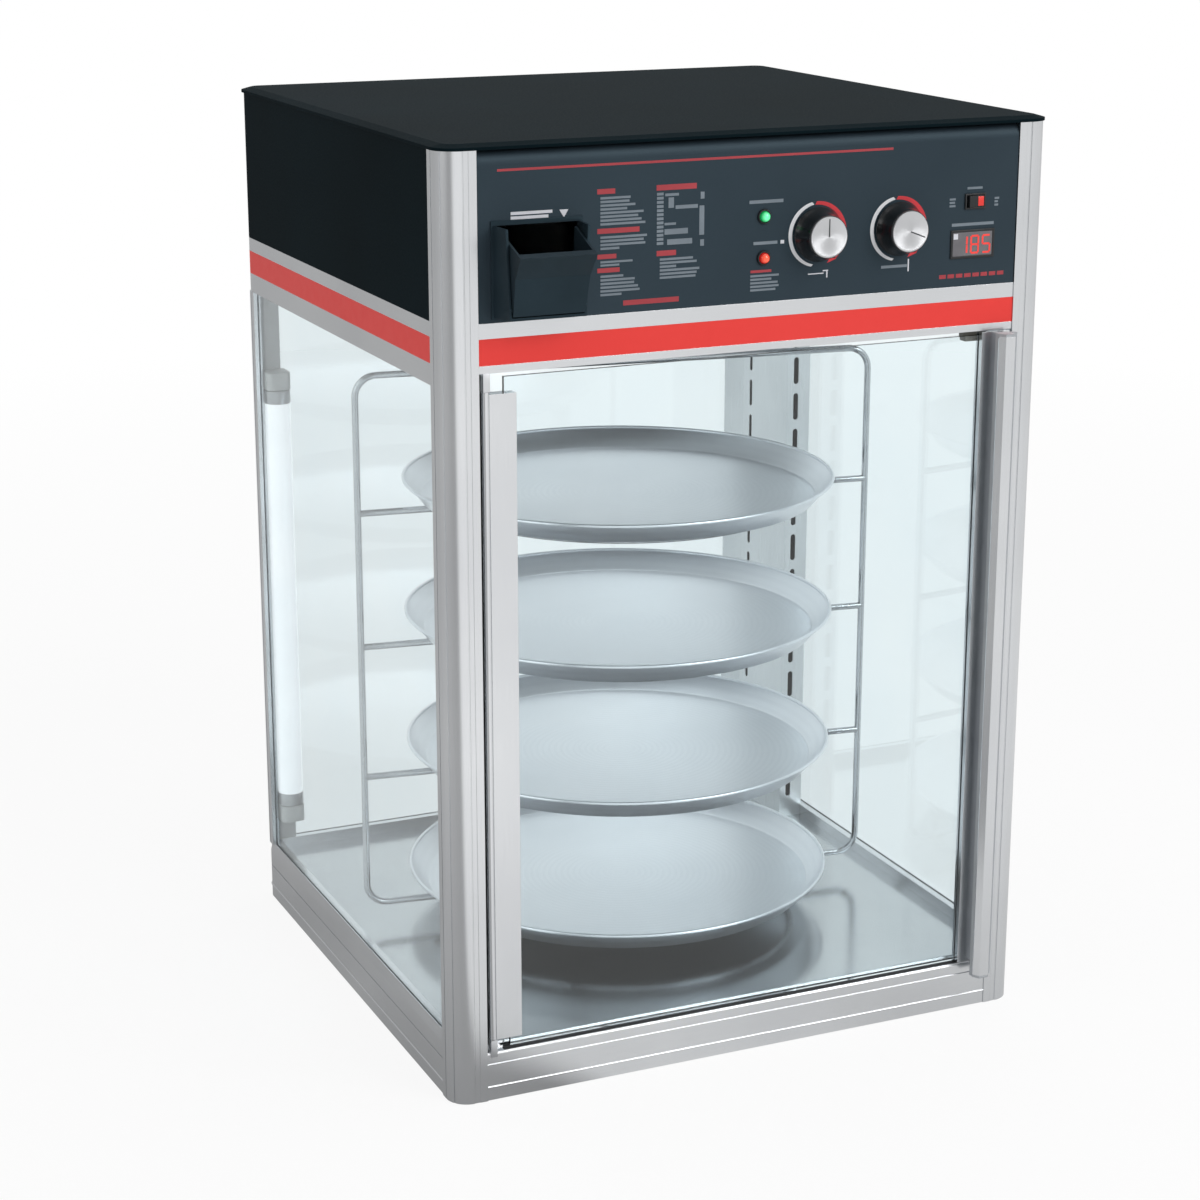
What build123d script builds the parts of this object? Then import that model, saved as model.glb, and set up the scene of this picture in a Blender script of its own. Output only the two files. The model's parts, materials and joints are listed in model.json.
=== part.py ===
from build123d import *
import os
from math import asin, cos, degrees, radians, sin

# Humidified hot food display cabinet: a glass sided counter cabinet with a turning four tier rack.
# Millimetres, +Z up, front towards -Y, origin on the counter under the centre of the casing.

# Casing
body_width = 572.0
body_depth = 550.0
casing_height = 832.0
housing_height = 140.0
x_out = body_width / 2
y_out = body_depth / 2
lid_thickness = 5.0
lid_overhang = 1.0
lid_bevel_run = 9.0
lid_bevel_rise = 2.5
panel_sheet = 1.5
joint_gap = 0.1

# Corner posts: an L shaped extrusion with a wide outer round
post_face = 32.0
post_flank = 28.0
post_leg = 10.0
post_round = 20.0
post_wall = 2.0
post_groove_offset = 8.0
post_groove_width = 1.2
post_groove_depth = 0.8
post_crease_angle = 35.0
post_channel_width = 4.4
post_channel_depth = 0.5
bend_core = 0.5

# Glazing
glass_thickness = 4.0
glass_inset = 4.0
glass_side_play = 0.2
glass_end_play = 0.8
glass_slot_depth = 8.0

# Rails
rail_inset = 1.0
rail_wall = 2.0
base_rail_height = 60.0
sill_top = 45.0
sill_edge = 1.5
sill_upstand = 2.2
base_rail_shoulder = 50.0
base_rail_depth = 15.0
base_lip = 0.8
base_bead_height = 12.5
base_bead_radius = 0.9
base_groove_height = 34.6
base_groove_width = 1.2
base_groove_depth = 0.9
upper_rail_top = casing_height - housing_height
upper_rail_bottom_offset = 53.2
upper_rail_bottom = upper_rail_top - upper_rail_bottom_offset
front_rail_bottom_offset = 41.3
front_rail_bottom = upper_rail_top - front_rail_bottom_offset
band_bottom_offset = 34.9
band_bottom = upper_rail_top - band_bottom_offset
band_top_offset = 12.8
band_top = upper_rail_top - band_top_offset
band_depth = 1.2
ledge_width = 8.0
ledge_thickness = 3.0

# Floor, base and ceiling
floor_level = 49.0
floor_sheet = 1.5
base_sheet = 1.5
base_flange_height = 30.0
ceiling_underside_offset = 37.0
ceiling_underside = upper_rail_top - ceiling_underside_offset
ceiling_sheet = 1.5
ceiling_slot_margin = 8.0

# Door
door_glass_inset = 6.0
door_side_gap = 2.0
door_bottom_gap = 2.0
door_top_gap = 4.7
stile_inset = 1.0
stile_depth = 11.5
hinge_stile_left_offset = 41.0
hinge_stile_left = hinge_stile_left_offset - x_out
hinge_stile_right_offset = 65.0
hinge_stile_right = hinge_stile_right_offset - x_out
hinge_stile_bottom = 57.0
hinge_stile_top_offset = 17.7
hinge_stile_top = front_rail_bottom - hinge_stile_top_offset
handle_stile_left_offset = 62.0
handle_stile_left = x_out - handle_stile_left_offset
handle_stile_bottom = 46.0
handle_stile_top_offset = 1.2
handle_stile_top = front_rail_bottom - handle_stile_top_offset
stile_slot_depth = 9.0
hinge_x_offset = 38.5
hinge_x = hinge_x_offset - x_out
hinge_inset = 3.7
hinge_barrel_radius = 3.3
hinge_pin_radius = 2.0
hinge_pin_length = 13.0
hinge_block_width = 6.0
hinge_block_depth = 7.0
hinge_block_bottom = 41.0
handle_left_offset = 54.0
handle_left = x_out - handle_left_offset
handle_right_offset = 40.7
handle_right = x_out - handle_right_offset
handle_reach = 20.0
handle_shell_depth = 7.0
handle_chamfer_width = 3.7
handle_chamfer_depth = 6.0
handle_core_depth = 5.0
handle_core_lap = 6.0
handle_web_left_offset = 48.0
handle_web_left = x_out - handle_web_left_offset
handle_web_right_offset = 43.0
handle_web_right = x_out - handle_web_right_offset
handle_bottom = 38.5
handle_top_offset = 3.2
handle_top = front_rail_bottom - handle_top_offset
handle_cap_thickness = 2.5
catch_left_offset = 73.0
catch_left = x_out - catch_left_offset
catch_right_offset = 50.0
catch_right = x_out - catch_right_offset
catch_height = 12.0
catch_depth = 10.0

# Turning rack
rack_x = -4.0
rack_turn = -7.5
rack_side_room = 34.0
rack_front_room = 23.0
rack_radius = min(x_out - rack_side_room, y_out - rack_front_room)
rack_bottom = 71.0
rack_head_room = 62.4
rack_top = ceiling_underside - rack_head_room
tier_count = 4
tier_pitch = (rack_top - rack_bottom) / tier_count
rack_rod = 6.35
rack_bend = 20.0
rack_bend_tail = 2.0
ring_wire = 5.0
ring_drop = 0.1
ring_end_gap = 0.05
ring_radius_offset = 80.0
ring_radius = rack_radius - ring_radius_offset
pan_floor_radius_offset = 64.0
pan_floor_radius = rack_radius - pan_floor_radius_offset
pan_rim_radius_offset = 47.0
pan_rim_radius = rack_radius - pan_rim_radius_offset
pan_height = 20.5
pan_sheet = 1.2
pan_rim_width = 3.5
pan_rim_height = 1.5
pan_rest_gap = 0.05
running_play = 0.05
pivot_pin_radius = 4.0
pivot_pin_length = 8.0
pivot_column_radius = 12.0
pivot_neck_radius = 6.0
pivot_flange_radius = 25.0
pivot_flange_thickness = 4.0
hub_radius = 11.0
hub_drop = 11.0
hub_bore_end = 0.3
thrust_gap = 0.3
stub_radius = 5.0
stub_length = 25.0
stub_bore_end = 0.5
drive_shaft_radius = 4.0
drive_sleeve_radius = 10.0
drive_sleeve_top_offset = 15.0
drive_sleeve_top = ceiling_underside - drive_sleeve_top_offset
drive_shaft_engagement = 20.0
drive_bore_end = 1.0

# Rack motor
gearbox_size = 70.0
gearbox_height = 28.0
motor_radius = 26.0
motor_height = 46.0
motor_offset = 8.0
motor_nose_radius = 12.0
motor_nose_drop = 10.0
motor_cap_radius = 9.0
motor_cap_height = 5.0
gearbox_round = 6.0
ear_reach = 13.0
ear_width = 20.0
ear_thickness = 3.0
ear_hole_radius = 2.2

# Lamp
lamp_x_offset = 23.4
lamp_x = lamp_x_offset - x_out
lamp_y_offset = 30.0
lamp_y = y_out - lamp_y_offset
lamp_radius = 13.0
lamp_bottom = 104.0
lamp_head_room = 96.8
lamp_length = upper_rail_bottom - lamp_head_room - lamp_bottom
lamp_holder_height = 17.0
lamp_holder_width = 24.0
lamp_holder_depth = 25.0
lamp_holder_round = 6.0
lamp_pin_radius = 1.2
lamp_pin_spacing = 12.7
lamp_pin_length = 7.0
lamp_channel_left_offset = 10.5
lamp_channel_left = lamp_channel_left_offset - x_out
lamp_channel_right_offset = 32.0
lamp_channel_right = lamp_channel_right_offset - x_out
lamp_channel_depth = 5.5

# Air duct
duct_left_offset = 40.0
duct_left = x_out - duct_left_offset
duct_front_offset = 143.0
duct_front = y_out - duct_front_offset
duct_rear_offset = 44.0
duct_rear = y_out - duct_rear_offset
duct_reach_offset = 14.0
duct_reach = x_out - duct_reach_offset
duct_foot_left_offset = 48.0
duct_foot_left = x_out - duct_foot_left_offset
duct_sheet = 1.2
duct_slot_width = 5.5
duct_slot_length = 28.0
duct_slot_count = 15
duct_slot_start = 86.0
duct_slot_head_room = 41.2
duct_slot_pitch = (ceiling_underside - duct_slot_head_room - duct_slot_start) / (duct_slot_count - 1)
duct_front_slot_x_offset = 30.0
duct_front_slot_x = x_out - duct_front_slot_x_offset
duct_left_slot_y_offset = 61.0
duct_left_slot_y = y_out - duct_left_slot_y_offset

# Control panel
panel_round = 12.0
panel_edge_gap = 0.5
knob_insets = [229.5, 150.5]
knob_x = [x_out - inset for inset in knob_insets]
knob_z_offset = 54.5
knob_z = upper_rail_top + knob_z_offset
knob_skirt_radius = 24.0
knob_face_radius = 18.3
knob_height = 20.0
knob_gap = 1.0
knob_cap_radius = 17.8
knob_cap_thickness = 2.0
knob_pointer_turn = [0.0, 111.0]
knob_pointer_width = 1.2
knob_pointer_depth = 0.6
knob_shaft_radius = 3.0
knob_shaft_play = 0.5
knob_shaft_tip_gap = 1.0
knob_pointer_margin = 1.5
thermostat_size = 38.0
thermostat_depth = 30.0
terminal_offset = 10.0
terminal_width = 6.0
terminal_length = 8.0
terminal_thickness = 1.0
indicator_x_offset = 281.0
indicator_x = x_out - indicator_x_offset
indicator_rises = [72.5, 37.5]
indicator_z = [upper_rail_top + rise for rise in indicator_rises]
indicator_bezel_radius = 6.5
indicator_bezel_height = 2.0
indicator_dome_radius = 4.6
indicator_body_radius = 5.0
indicator_body_length = 20.0
switch_x_offset = 75.0
switch_x = x_out - switch_x_offset
switch_z_offset = 74.0
switch_z = upper_rail_top + switch_z_offset
switch_width = 20.5
switch_height = 13.5
switch_frame = 1.5
switch_lip = 1.6
switch_body_depth = 18.0
switch_well_depth = 6.0
rocker_play = 0.4
rocker_end_play = 1.0
rocker_tilt = 7.0
rocker_rise = 3.2
rocker_dip = 1.9
rocker_thickness = 4.0
rocker_back = 3.0
rocker_pin_radius = 1.0
display_x_offset = 76.3
display_x = x_out - display_x_offset
display_z_offset = 37.0
display_z = upper_rail_top + display_z_offset
display_width = 44.0
display_height = 25.0
display_lip = 1.2
display_recess = 0.6
display_body_depth = 28.0
display_body_margin = 2.0

# Water fill hopper
hopper_left_offset = 48.0
hopper_left = hopper_left_offset - x_out
hopper_right_offset = 72.0
hopper_right = hopper_left + hopper_right_offset
hopper_wall = 2.2
hopper_pivot_y_offset = 22.0
hopper_pivot_y = -y_out - hopper_pivot_y_offset
hopper_pivot_z_offset = 14.0
hopper_pivot_z = upper_rail_top + hopper_pivot_z_offset
hopper_front_foot_offset = 28.0
hopper_front_foot = -y_out - hopper_front_foot_offset
hopper_foot_offset = 10.5
hopper_foot = upper_rail_top + hopper_foot_offset
hopper_lip_y_offset = 46.0
hopper_lip_y = -y_out - hopper_lip_y_offset
hopper_lip_z_offset = 58.5
hopper_lip_z = upper_rail_top + hopper_lip_z_offset
hopper_back_y_offset = 1.5
hopper_back_y = -y_out - hopper_back_y_offset
hopper_back_z_offset = 75.0
hopper_back_z = upper_rail_top + hopper_back_z_offset
hopper_back_foot = 12.0
hopper_foot_depth = 5.0
hopper_cut_over = 20.0
hopper_side_gap = 0.4
hopper_pin_radius = 1.6
pocket_wall = 2.4
pocket_reach = 24.0
pocket_top_offset = 79.0
pocket_top = upper_rail_top + pocket_top_offset
pocket_floor_offset = 7.0
pocket_floor = upper_rail_top + pocket_floor_offset
pocket_flange = 4.0
pocket_flange_thickness = 1.2
throat_length = 60.0
throat_drop = 1.5
throat_lap = 6.0
throat_side = 10.0
throat_side_start = 10.0

# Water tank
tank_left_offset = 40.0
tank_left = tank_left_offset - x_out
tank_right_offset = 118.0
tank_right = tank_left + tank_right_offset
tank_front_offset = 49.0
tank_front = tank_front_offset - y_out
tank_rear_offset = 130.0
tank_rear = tank_front + tank_rear_offset
tank_bottom_offset = 5.0
tank_bottom = ceiling_underside + tank_bottom_offset
tank_top_offset = 34.0
tank_top = tank_bottom + tank_top_offset
tank_wall = 1.2
tank_foot_inset = 12.0
tank_foot_width = 16.0
standpipe_radius = 9.0
standpipe_inset = 25.0
standpipe_drop = 3.0
standpipe_freeboard = 6.0
heater_rod = 8.0
heater_span = 60.0
heater_bend = 14.5
heater_flange_thickness = 4.0
heater_leg_radius = 1.5
heater_reach = 84.0
heater_height_offset = 11.0
heater_height = tank_bottom + heater_height_offset

# Blower and air heater
blower_x_offset = 136.0
blower_x = x_out - blower_x_offset
blower_y_offset = 93.0
blower_y = y_out - blower_y_offset
blower_radius = 58.0
blower_height = 54.0
blower_wall = 1.5
blower_outlet_front_offset = 32.0
blower_outlet_front = blower_y - blower_outlet_front_offset
blower_outlet_rear_offset = 32.0
blower_outlet_rear = blower_y + blower_outlet_rear_offset
blower_outlet_end_offset = 16.0
blower_outlet_end = x_out - blower_outlet_end_offset
blower_inlet_radius = 34.0
blower_motor_radius = 30.0
blower_motor_height = 42.0
blower_motor_cover = 6.0
wheel_radius = 48.0
wheel_height = 42.0
wheel_clearance = 3.0
wheel_blades = 24
wheel_blade_depth = 12.0
wheel_blade_thickness = 1.2
wheel_blade_inset = 1.0
wheel_plate = 2.0
wheel_hub_radius = 8.0
wheel_hub_height = 14.0
wheel_shaft_radius = 3.0
wheel_shaft_end_gap = 2.0
air_heater_rod = 8.0
air_heater_inset = 18.0
air_heater_fin = 0.8
air_heater_fins = 9
air_heater_fin_reach = 12.0
air_heater_fin_height = 32.0
air_heater_fin_margin = 6.0
air_heater_length = 48.0

# Rear
gland_x_offset = 106.0
gland_x = gland_x_offset - x_out
gland_z_offset = 43.0
gland_z = upper_rail_top + gland_z_offset
gland_radius = 11.0
gland_cap_radius = 9.0
gland_thread_radius = 8.5
gland_thread_length = 6.0
gland_nut = 6.0
gland_length = 18.0
gland_bore = 4.5
louvre_count = 8
louvre_pitch = 12.0
louvre_width = 120.0
louvre_height = 4.0
louvre_bottom_offset = 24.0
louvre_bottom = upper_rail_top + louvre_bottom_offset
screw_head_radius = 4.0
screw_head_height = 2.0
screw_shank_radius = 1.8
screw_length = 8.0
screw_edge = 12.0

# Places worked out from the sizes above
face_half = x_out - post_face
flank_half = y_out - post_flank
slot_outer = glass_inset - glass_side_play
slot_inner = glass_inset + glass_thickness + glass_side_play
floor_underside = floor_level - floor_sheet
ceiling_top = ceiling_underside + ceiling_sheet
panel_skin_y = -y_out + rail_inset
duct_top = ceiling_underside - joint_gap
tiers = [rack_bottom + tier_pitch * i for i in range(tier_count)]

rear_half = x_out - post_round
standpipe_x = (tank_left + tank_right) / 2
standpipe_y = tank_rear - standpipe_inset
bend_y = y_out - post_round

nodes = {}


def add(name, *solids):
    """Keep the solids of one node, to be written at the end."""
    if len(solids) == 1:
        nodes[name] = solids[0]
    else:
        nodes[name] = Compound(children=list(solids))


def block(x0, x1, y0, y1, z0, z1):
    """A box between two corners."""
    size = Box(x1 - x0, y1 - y0, z1 - z0)
    return Pos((x0 + x1) / 2, (y0 + y1) / 2, (z0 + z1) / 2) * size


def drum(x, y, z0, z1, radius):
    """An upright cylinder."""
    return Pos(x, y, (z0 + z1) / 2) * Cylinder(radius, z1 - z0)


def drum_x(x0, x1, y, z, radius):
    """A cylinder along X."""
    return Pos((x0 + x1) / 2, y, z) * Rot(0, 90, 0) * Cylinder(radius, x1 - x0)


def drum_y(x, y0, y1, z, radius):
    """A cylinder along Y."""
    return Pos(x, (y0 + y1) / 2, z) * Rot(90, 0, 0) * Cylinder(radius, y1 - y0)


def prism_x(points, x0, x1):
    """A polygon of (y, z) points drawn out along X."""
    face = Plane.YZ * Polygon(*points, align=None)
    return Pos(x0, 0, 0) * extrude(face, amount=x1 - x0, dir=(1, 0, 0))


def prism_z(points, z0, z1):
    """A polygon of (x, y) points drawn up along Z."""
    return Pos(0, 0, z0) * extrude(Polygon(*points, align=None), amount=z1 - z0, dir=(0, 0, 1))


def slot_x(x0, x1, y, z, width, height):
    """An upright round ended slot cut through along X."""
    face = Plane.YZ * Rot(0, 0, 90) * SlotOverall(height, width)
    return Pos(x0, y, z) * extrude(face, amount=x1 - x0, dir=(1, 0, 0))


def slot_y(x, y0, y1, z, width, height):
    """A round ended slot cut through along Y, level when wider than high."""
    turn = Rot(0, 0, 0) if width > height else Rot(0, 0, 90)
    face = Plane.XZ * turn * SlotOverall(max(width, height), min(width, height))
    return Pos(x, y0, z) * extrude(face, amount=y1 - y0, dir=(0, 1, 0))


def corner_post(height, with_face_slot):
    """The post of the rear right corner, with glass slots in the ends of its legs."""
    inner_x = x_out - post_leg
    inner_y = y_out - post_leg
    outline = Polygon(
        (face_half, y_out),
        (x_out, y_out),
        (x_out, flank_half),
        (inner_x, flank_half),
        (inner_x, inner_y),
        (face_half, inner_y),
        align=None,
    )
    corner = outline.vertices().sort_by(Axis.X)[-2:].sort_by(Axis.Y)[-1]
    outline = fillet(corner, post_round)
    cell = offset(outline, amount=-post_wall, kind=Kind.INTERSECTION)
    cell_left = face_half + glass_slot_depth + post_wall
    cell_front = flank_half + glass_slot_depth + post_wall
    cell_width = x_out - cell_left
    cell_depth = y_out - cell_front
    cell_place = Pos(cell_left + cell_width / 2, cell_front + cell_depth / 2)
    cell = cell & cell_place * Rectangle(cell_width, cell_depth)
    slot_width = slot_inner - slot_outer
    slot_mid = (slot_inner + slot_outer) / 2
    flank_slot = Pos(x_out - slot_mid, flank_half) * Rectangle(slot_width, 2 * glass_slot_depth)
    groove_y = flank_half + post_groove_offset
    groove = Pos(x_out, groove_y) * Rectangle(2 * post_groove_depth, post_groove_width)
    profile = outline - cell - flank_slot - groove
    round_x = x_out - post_round
    crease_cut = Pos(post_round, 0) * Rectangle(2 * post_groove_depth, post_groove_width)
    profile -= Pos(round_x, y_out - post_round) * Rot(0, 0, post_crease_angle) * crease_cut
    profile -= Pos(round_x, y_out) * Rectangle(post_groove_width, 2 * post_groove_depth)
    channel_x = round_x - (post_groove_width + post_channel_width) / 2
    profile -= Pos(channel_x, y_out) * Rectangle(post_channel_width, 2 * post_channel_depth)
    if with_face_slot:
        profile -= Pos(face_half, y_out - slot_mid) * Rectangle(2 * glass_slot_depth, slot_width)
    return extrude(profile, amount=height, dir=(0, 0, 1))


def posts():
    """Full height posts in front; at the back, posts between the rails that run round the corners."""
    front_right = mirror(corner_post(casing_height, with_face_slot=False), about=Plane.XZ)
    glazed_height = upper_rail_bottom - base_rail_height
    rear_right = Pos(0, 0, base_rail_height) * corner_post(glazed_height, with_face_slot=True)
    add("post_front_right", front_right)
    add("post_front_left", mirror(front_right, about=Plane.YZ))
    add("post_rear_right", rear_right)
    add("post_rear_left", mirror(rear_right, about=Plane.YZ))


def cross_run(profile, half):
    """A straight run along the front, from a section in (distance in from the outer face, height)."""
    bar = extrude(Plane.YZ * profile, amount=half - joint_gap, both=True)
    return Pos(0, -y_out, 0) * bar


def side_run(profile):
    """A run along the right side, from the front post and round the rear corner."""
    start = -flank_half + joint_gap
    straight = Pos(start, 0, 0) * extrude(Plane.YZ * profile, amount=bend_y - start, dir=(1, 0, 0))
    bent = profile & Rectangle(2 * (post_round - bend_core), 4 * casing_height)
    axis = Axis((bend_y, post_round, 0), (0, 0, 1))
    corner = revolve(Pos(bend_y, 0, 0) * (Plane.YZ * bent), axis=axis, revolution_arc=90)
    return Rot(0, 0, 90) * Pos(0, -x_out, 0) * (straight + corner)


def four_runs(front_profile, side_profile):
    """The same kind of piece on the front, right, rear and left of the casing."""
    right = side_run(side_profile)
    return {
        "front": cross_run(front_profile, face_half),
        "right": right,
        "rear": Rot(0, 0, 180) * cross_run(side_profile, rear_half),
        "left": mirror(right, about=Plane.YZ),
    }


def base_profile(glazed):
    """The section of a base rail: bead, groove, floor ledge and, where glazed, a lip and a slot."""
    ledge_end = base_rail_depth + ledge_width
    ledge_under = floor_underside - ledge_thickness
    tail = [
        (base_rail_depth, floor_underside),
        (ledge_end, floor_underside),
        (ledge_end, ledge_under),
        (base_rail_depth, ledge_under),
        (base_rail_depth, 0),
    ]
    if glazed:
        head = [
            (rail_inset, base_rail_shoulder),
            (slot_outer - base_lip, base_rail_height),
            (slot_outer, base_rail_height),
            (slot_outer, base_rail_height - glass_slot_depth),
            (slot_inner, base_rail_height - glass_slot_depth),
            (slot_inner, base_rail_height),
            (base_rail_depth, base_rail_height),
        ]
    else:
        head = [
            (rail_inset, sill_top - sill_edge),
            (rail_inset + sill_edge, sill_top),
            (base_rail_depth - sill_upstand, sill_top),
            (base_rail_depth - sill_upstand, floor_underside),
        ]
    profile = Polygon((rail_inset, 0), *head, *tail, align=None)
    cell_low = rail_wall
    cell_high = ledge_under - rail_wall
    cell_mid = (rail_inset + base_rail_depth) / 2
    cell_width = base_rail_depth - rail_inset - 2 * rail_wall
    profile -= Pos(cell_mid, (cell_low + cell_high) / 2) * Rectangle(cell_width, cell_high - cell_low)
    profile -= Pos(rail_inset, base_groove_height) * Rectangle(2 * base_groove_depth, base_groove_width)
    profile += Pos(rail_inset, base_bead_height) * Circle(base_bead_radius)
    return profile


def upper_profile(glazed):
    """The section of an upper rail: band recess, ceiling ledge and, where glazed, a glass slot."""
    low = upper_rail_bottom if glazed else front_rail_bottom
    ledge_end = post_leg + ledge_width
    ledge_under = ceiling_underside - ledge_thickness
    profile = Polygon(
        (rail_inset, low),
        (rail_inset, upper_rail_top),
        (post_leg, upper_rail_top),
        (post_leg, ceiling_underside),
        (ledge_end, ceiling_underside),
        (ledge_end, ledge_under),
        (post_leg, ledge_under),
        (post_leg, low),
        align=None,
    )
    band_mid = (band_bottom + band_top) / 2
    profile -= Pos(rail_inset, band_mid) * Rectangle(2 * band_depth, band_top - band_bottom)
    cell_left = rail_inset + band_depth + rail_wall / 2
    cell_right = post_leg - rail_wall
    cell_low = low + glass_slot_depth + rail_wall if glazed else low + rail_wall
    cell_high = upper_rail_top - rail_wall
    cell_place = Pos((cell_left + cell_right) / 2, (cell_low + cell_high) / 2)
    profile -= cell_place * Rectangle(cell_right - cell_left, cell_high - cell_low)
    if glazed:
        slot_place = Pos((slot_outer + slot_inner) / 2, low)
        profile -= slot_place * Rectangle(slot_inner - slot_outer, 2 * glass_slot_depth)
    return profile


def hinge_block_box(z0, z1):
    """The space of a door pivot block, between two heights."""
    half = hinge_block_width / 2
    front = -y_out + hinge_inset - hinge_block_depth / 2
    return block(hinge_x - half, hinge_x + half, front, front + hinge_block_depth, z0, z1)


def rails():
    """Base rails, upper rails and the red bands set in the upper rails."""
    base_rails = four_runs(base_profile(glazed=False), base_profile(glazed=True))
    base_rails["front"] -= hinge_block_box(hinge_block_bottom, sill_top + 1)
    ledge_end = x_out - base_rail_depth - ledge_width - joint_gap
    ledge_front = y_out - base_rail_depth - 2 * ledge_width
    ledge_back = y_out - base_rail_depth
    base_rails["rear"] -= block(ledge_end, x_out, ledge_front, ledge_back, 0, casing_height)
    base_rails["rear"] -= block(-x_out, -ledge_end, ledge_front, ledge_back, 0, casing_height)
    upper_rails = four_runs(upper_profile(glazed=False), upper_profile(glazed=True))
    for side in base_rails:
        add(f"base_rail_{side}", base_rails[side])
        add(f"upper_rail_{side}", upper_rails[side])
    band_place = Pos(rail_inset + band_depth / 2, (band_bottom + band_top) / 2)
    band = band_place * Rectangle(band_depth, band_top - band_bottom)
    add("trim_bands", *four_runs(band, band).values())


def glazing():
    """The three fixed panes, each held in slots in two posts and two rails."""
    low = base_rail_height - glass_slot_depth + glass_end_play
    high = upper_rail_bottom + glass_slot_depth - glass_end_play
    reach = flank_half + glass_slot_depth - glass_end_play
    outer = x_out - glass_inset
    inner = outer - glass_thickness
    add("glass_right", block(inner, outer, -reach, reach, low, high))
    add("glass_left", block(-outer, -inner, -reach, reach, low, high))
    reach = face_half + glass_slot_depth - glass_end_play
    outer = y_out - glass_inset
    add("glass_rear", block(-reach, reach, outer - glass_thickness, outer, low, high))


def round_rear_corners(sheet, radius):
    """Round the two rear upright edges of a sheet, to follow the rails round the corners."""
    return fillet(sheet.edges().filter_by(Axis.Z).group_by(Axis.Y)[-1], radius)


def floor_and_base():
    """The stainless floor, the base plate with its turned up flanges, and the rack's pivot post."""
    edge_x = x_out - base_rail_depth - joint_gap
    edge_y = y_out - base_rail_depth - joint_gap
    corner_radius = post_round - base_rail_depth
    floor = block(-edge_x, edge_x, -edge_y, edge_y, floor_underside, floor_level)
    floor = round_rear_corners(floor, corner_radius)
    floor -= drum(rack_x, 0, floor_underside, floor_level, pivot_neck_radius + thrust_gap)
    add("floor_pan", floor)
    tray = block(-edge_x, edge_x, -edge_y, edge_y, 0, base_flange_height)
    tray = round_rear_corners(tray, corner_radius)
    hollow_x = edge_x - base_sheet
    hollow_y = edge_y - base_sheet
    hollow = block(-hollow_x, hollow_x, -hollow_y, hollow_y, base_sheet, base_flange_height)
    tray -= round_rear_corners(hollow, corner_radius - base_sheet)
    add("base_plate", tray)
    column_top = floor_underside - thrust_gap
    shoulder = rack_bottom - hub_drop - thrust_gap
    post = drum(rack_x, 0, base_sheet, base_sheet + pivot_flange_thickness, pivot_flange_radius)
    post += drum(rack_x, 0, base_sheet, column_top, pivot_column_radius)
    post += drum(rack_x, 0, base_sheet, shoulder, pivot_neck_radius)
    post += drum(rack_x, 0, base_sheet, shoulder + pivot_pin_length, pivot_pin_radius)
    add("pivot_post", post)


def chamber_ceiling():
    edge_x = x_out - post_leg - joint_gap
    edge_y = y_out - post_leg - joint_gap
    plate = block(-edge_x, edge_x, -edge_y, edge_y, ceiling_underside, ceiling_top)
    plate = round_rear_corners(plate, post_round - post_leg)
    low = ceiling_underside
    high = ceiling_top
    plate -= drum(rack_x, 0, low, high, motor_nose_radius + thrust_gap)
    plate -= drum(blower_x, blower_y, low, high, blower_inlet_radius)
    plate -= drum(standpipe_x, standpipe_y, low, high, standpipe_radius + thrust_gap)
    opening_left = duct_left + duct_sheet
    opening_right = x_out - post_leg - ledge_width
    opening_front = duct_front + ceiling_slot_margin
    opening_rear = duct_rear - ceiling_slot_margin
    plate -= block(opening_left, opening_right, opening_front, opening_rear, low, high)
    add("chamber_ceiling", plate)


def top_cover():
    half_x = x_out + lid_overhang
    half_y = y_out + lid_overhang
    plate = extrude(
        Pos(0, 0, casing_height) * RectangleRounded(2 * half_x, 2 * half_y, post_round),
        amount=lid_thickness - lid_bevel_rise,
    )
    low = Pos(0, 0, casing_height + lid_thickness - lid_bevel_rise) * RectangleRounded(
        2 * half_x, 2 * half_y, post_round
    )
    high = Pos(0, 0, casing_height + lid_thickness) * RectangleRounded(
        2 * (half_x - lid_bevel_run), 2 * (half_y - lid_bevel_run), post_round - lid_bevel_run
    )
    crown = loft([low.face(), high.face()], ruled=True)
    inner_x = 2 * (half_x - post_face)
    inner_y = 2 * (half_y - post_face)
    opening = Pos(0, 0, casing_height) * Rectangle(inner_x, inner_y)
    hollow = extrude(opening, amount=lid_thickness - panel_sheet)
    add("top_cover", plate + crown - hollow)


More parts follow.
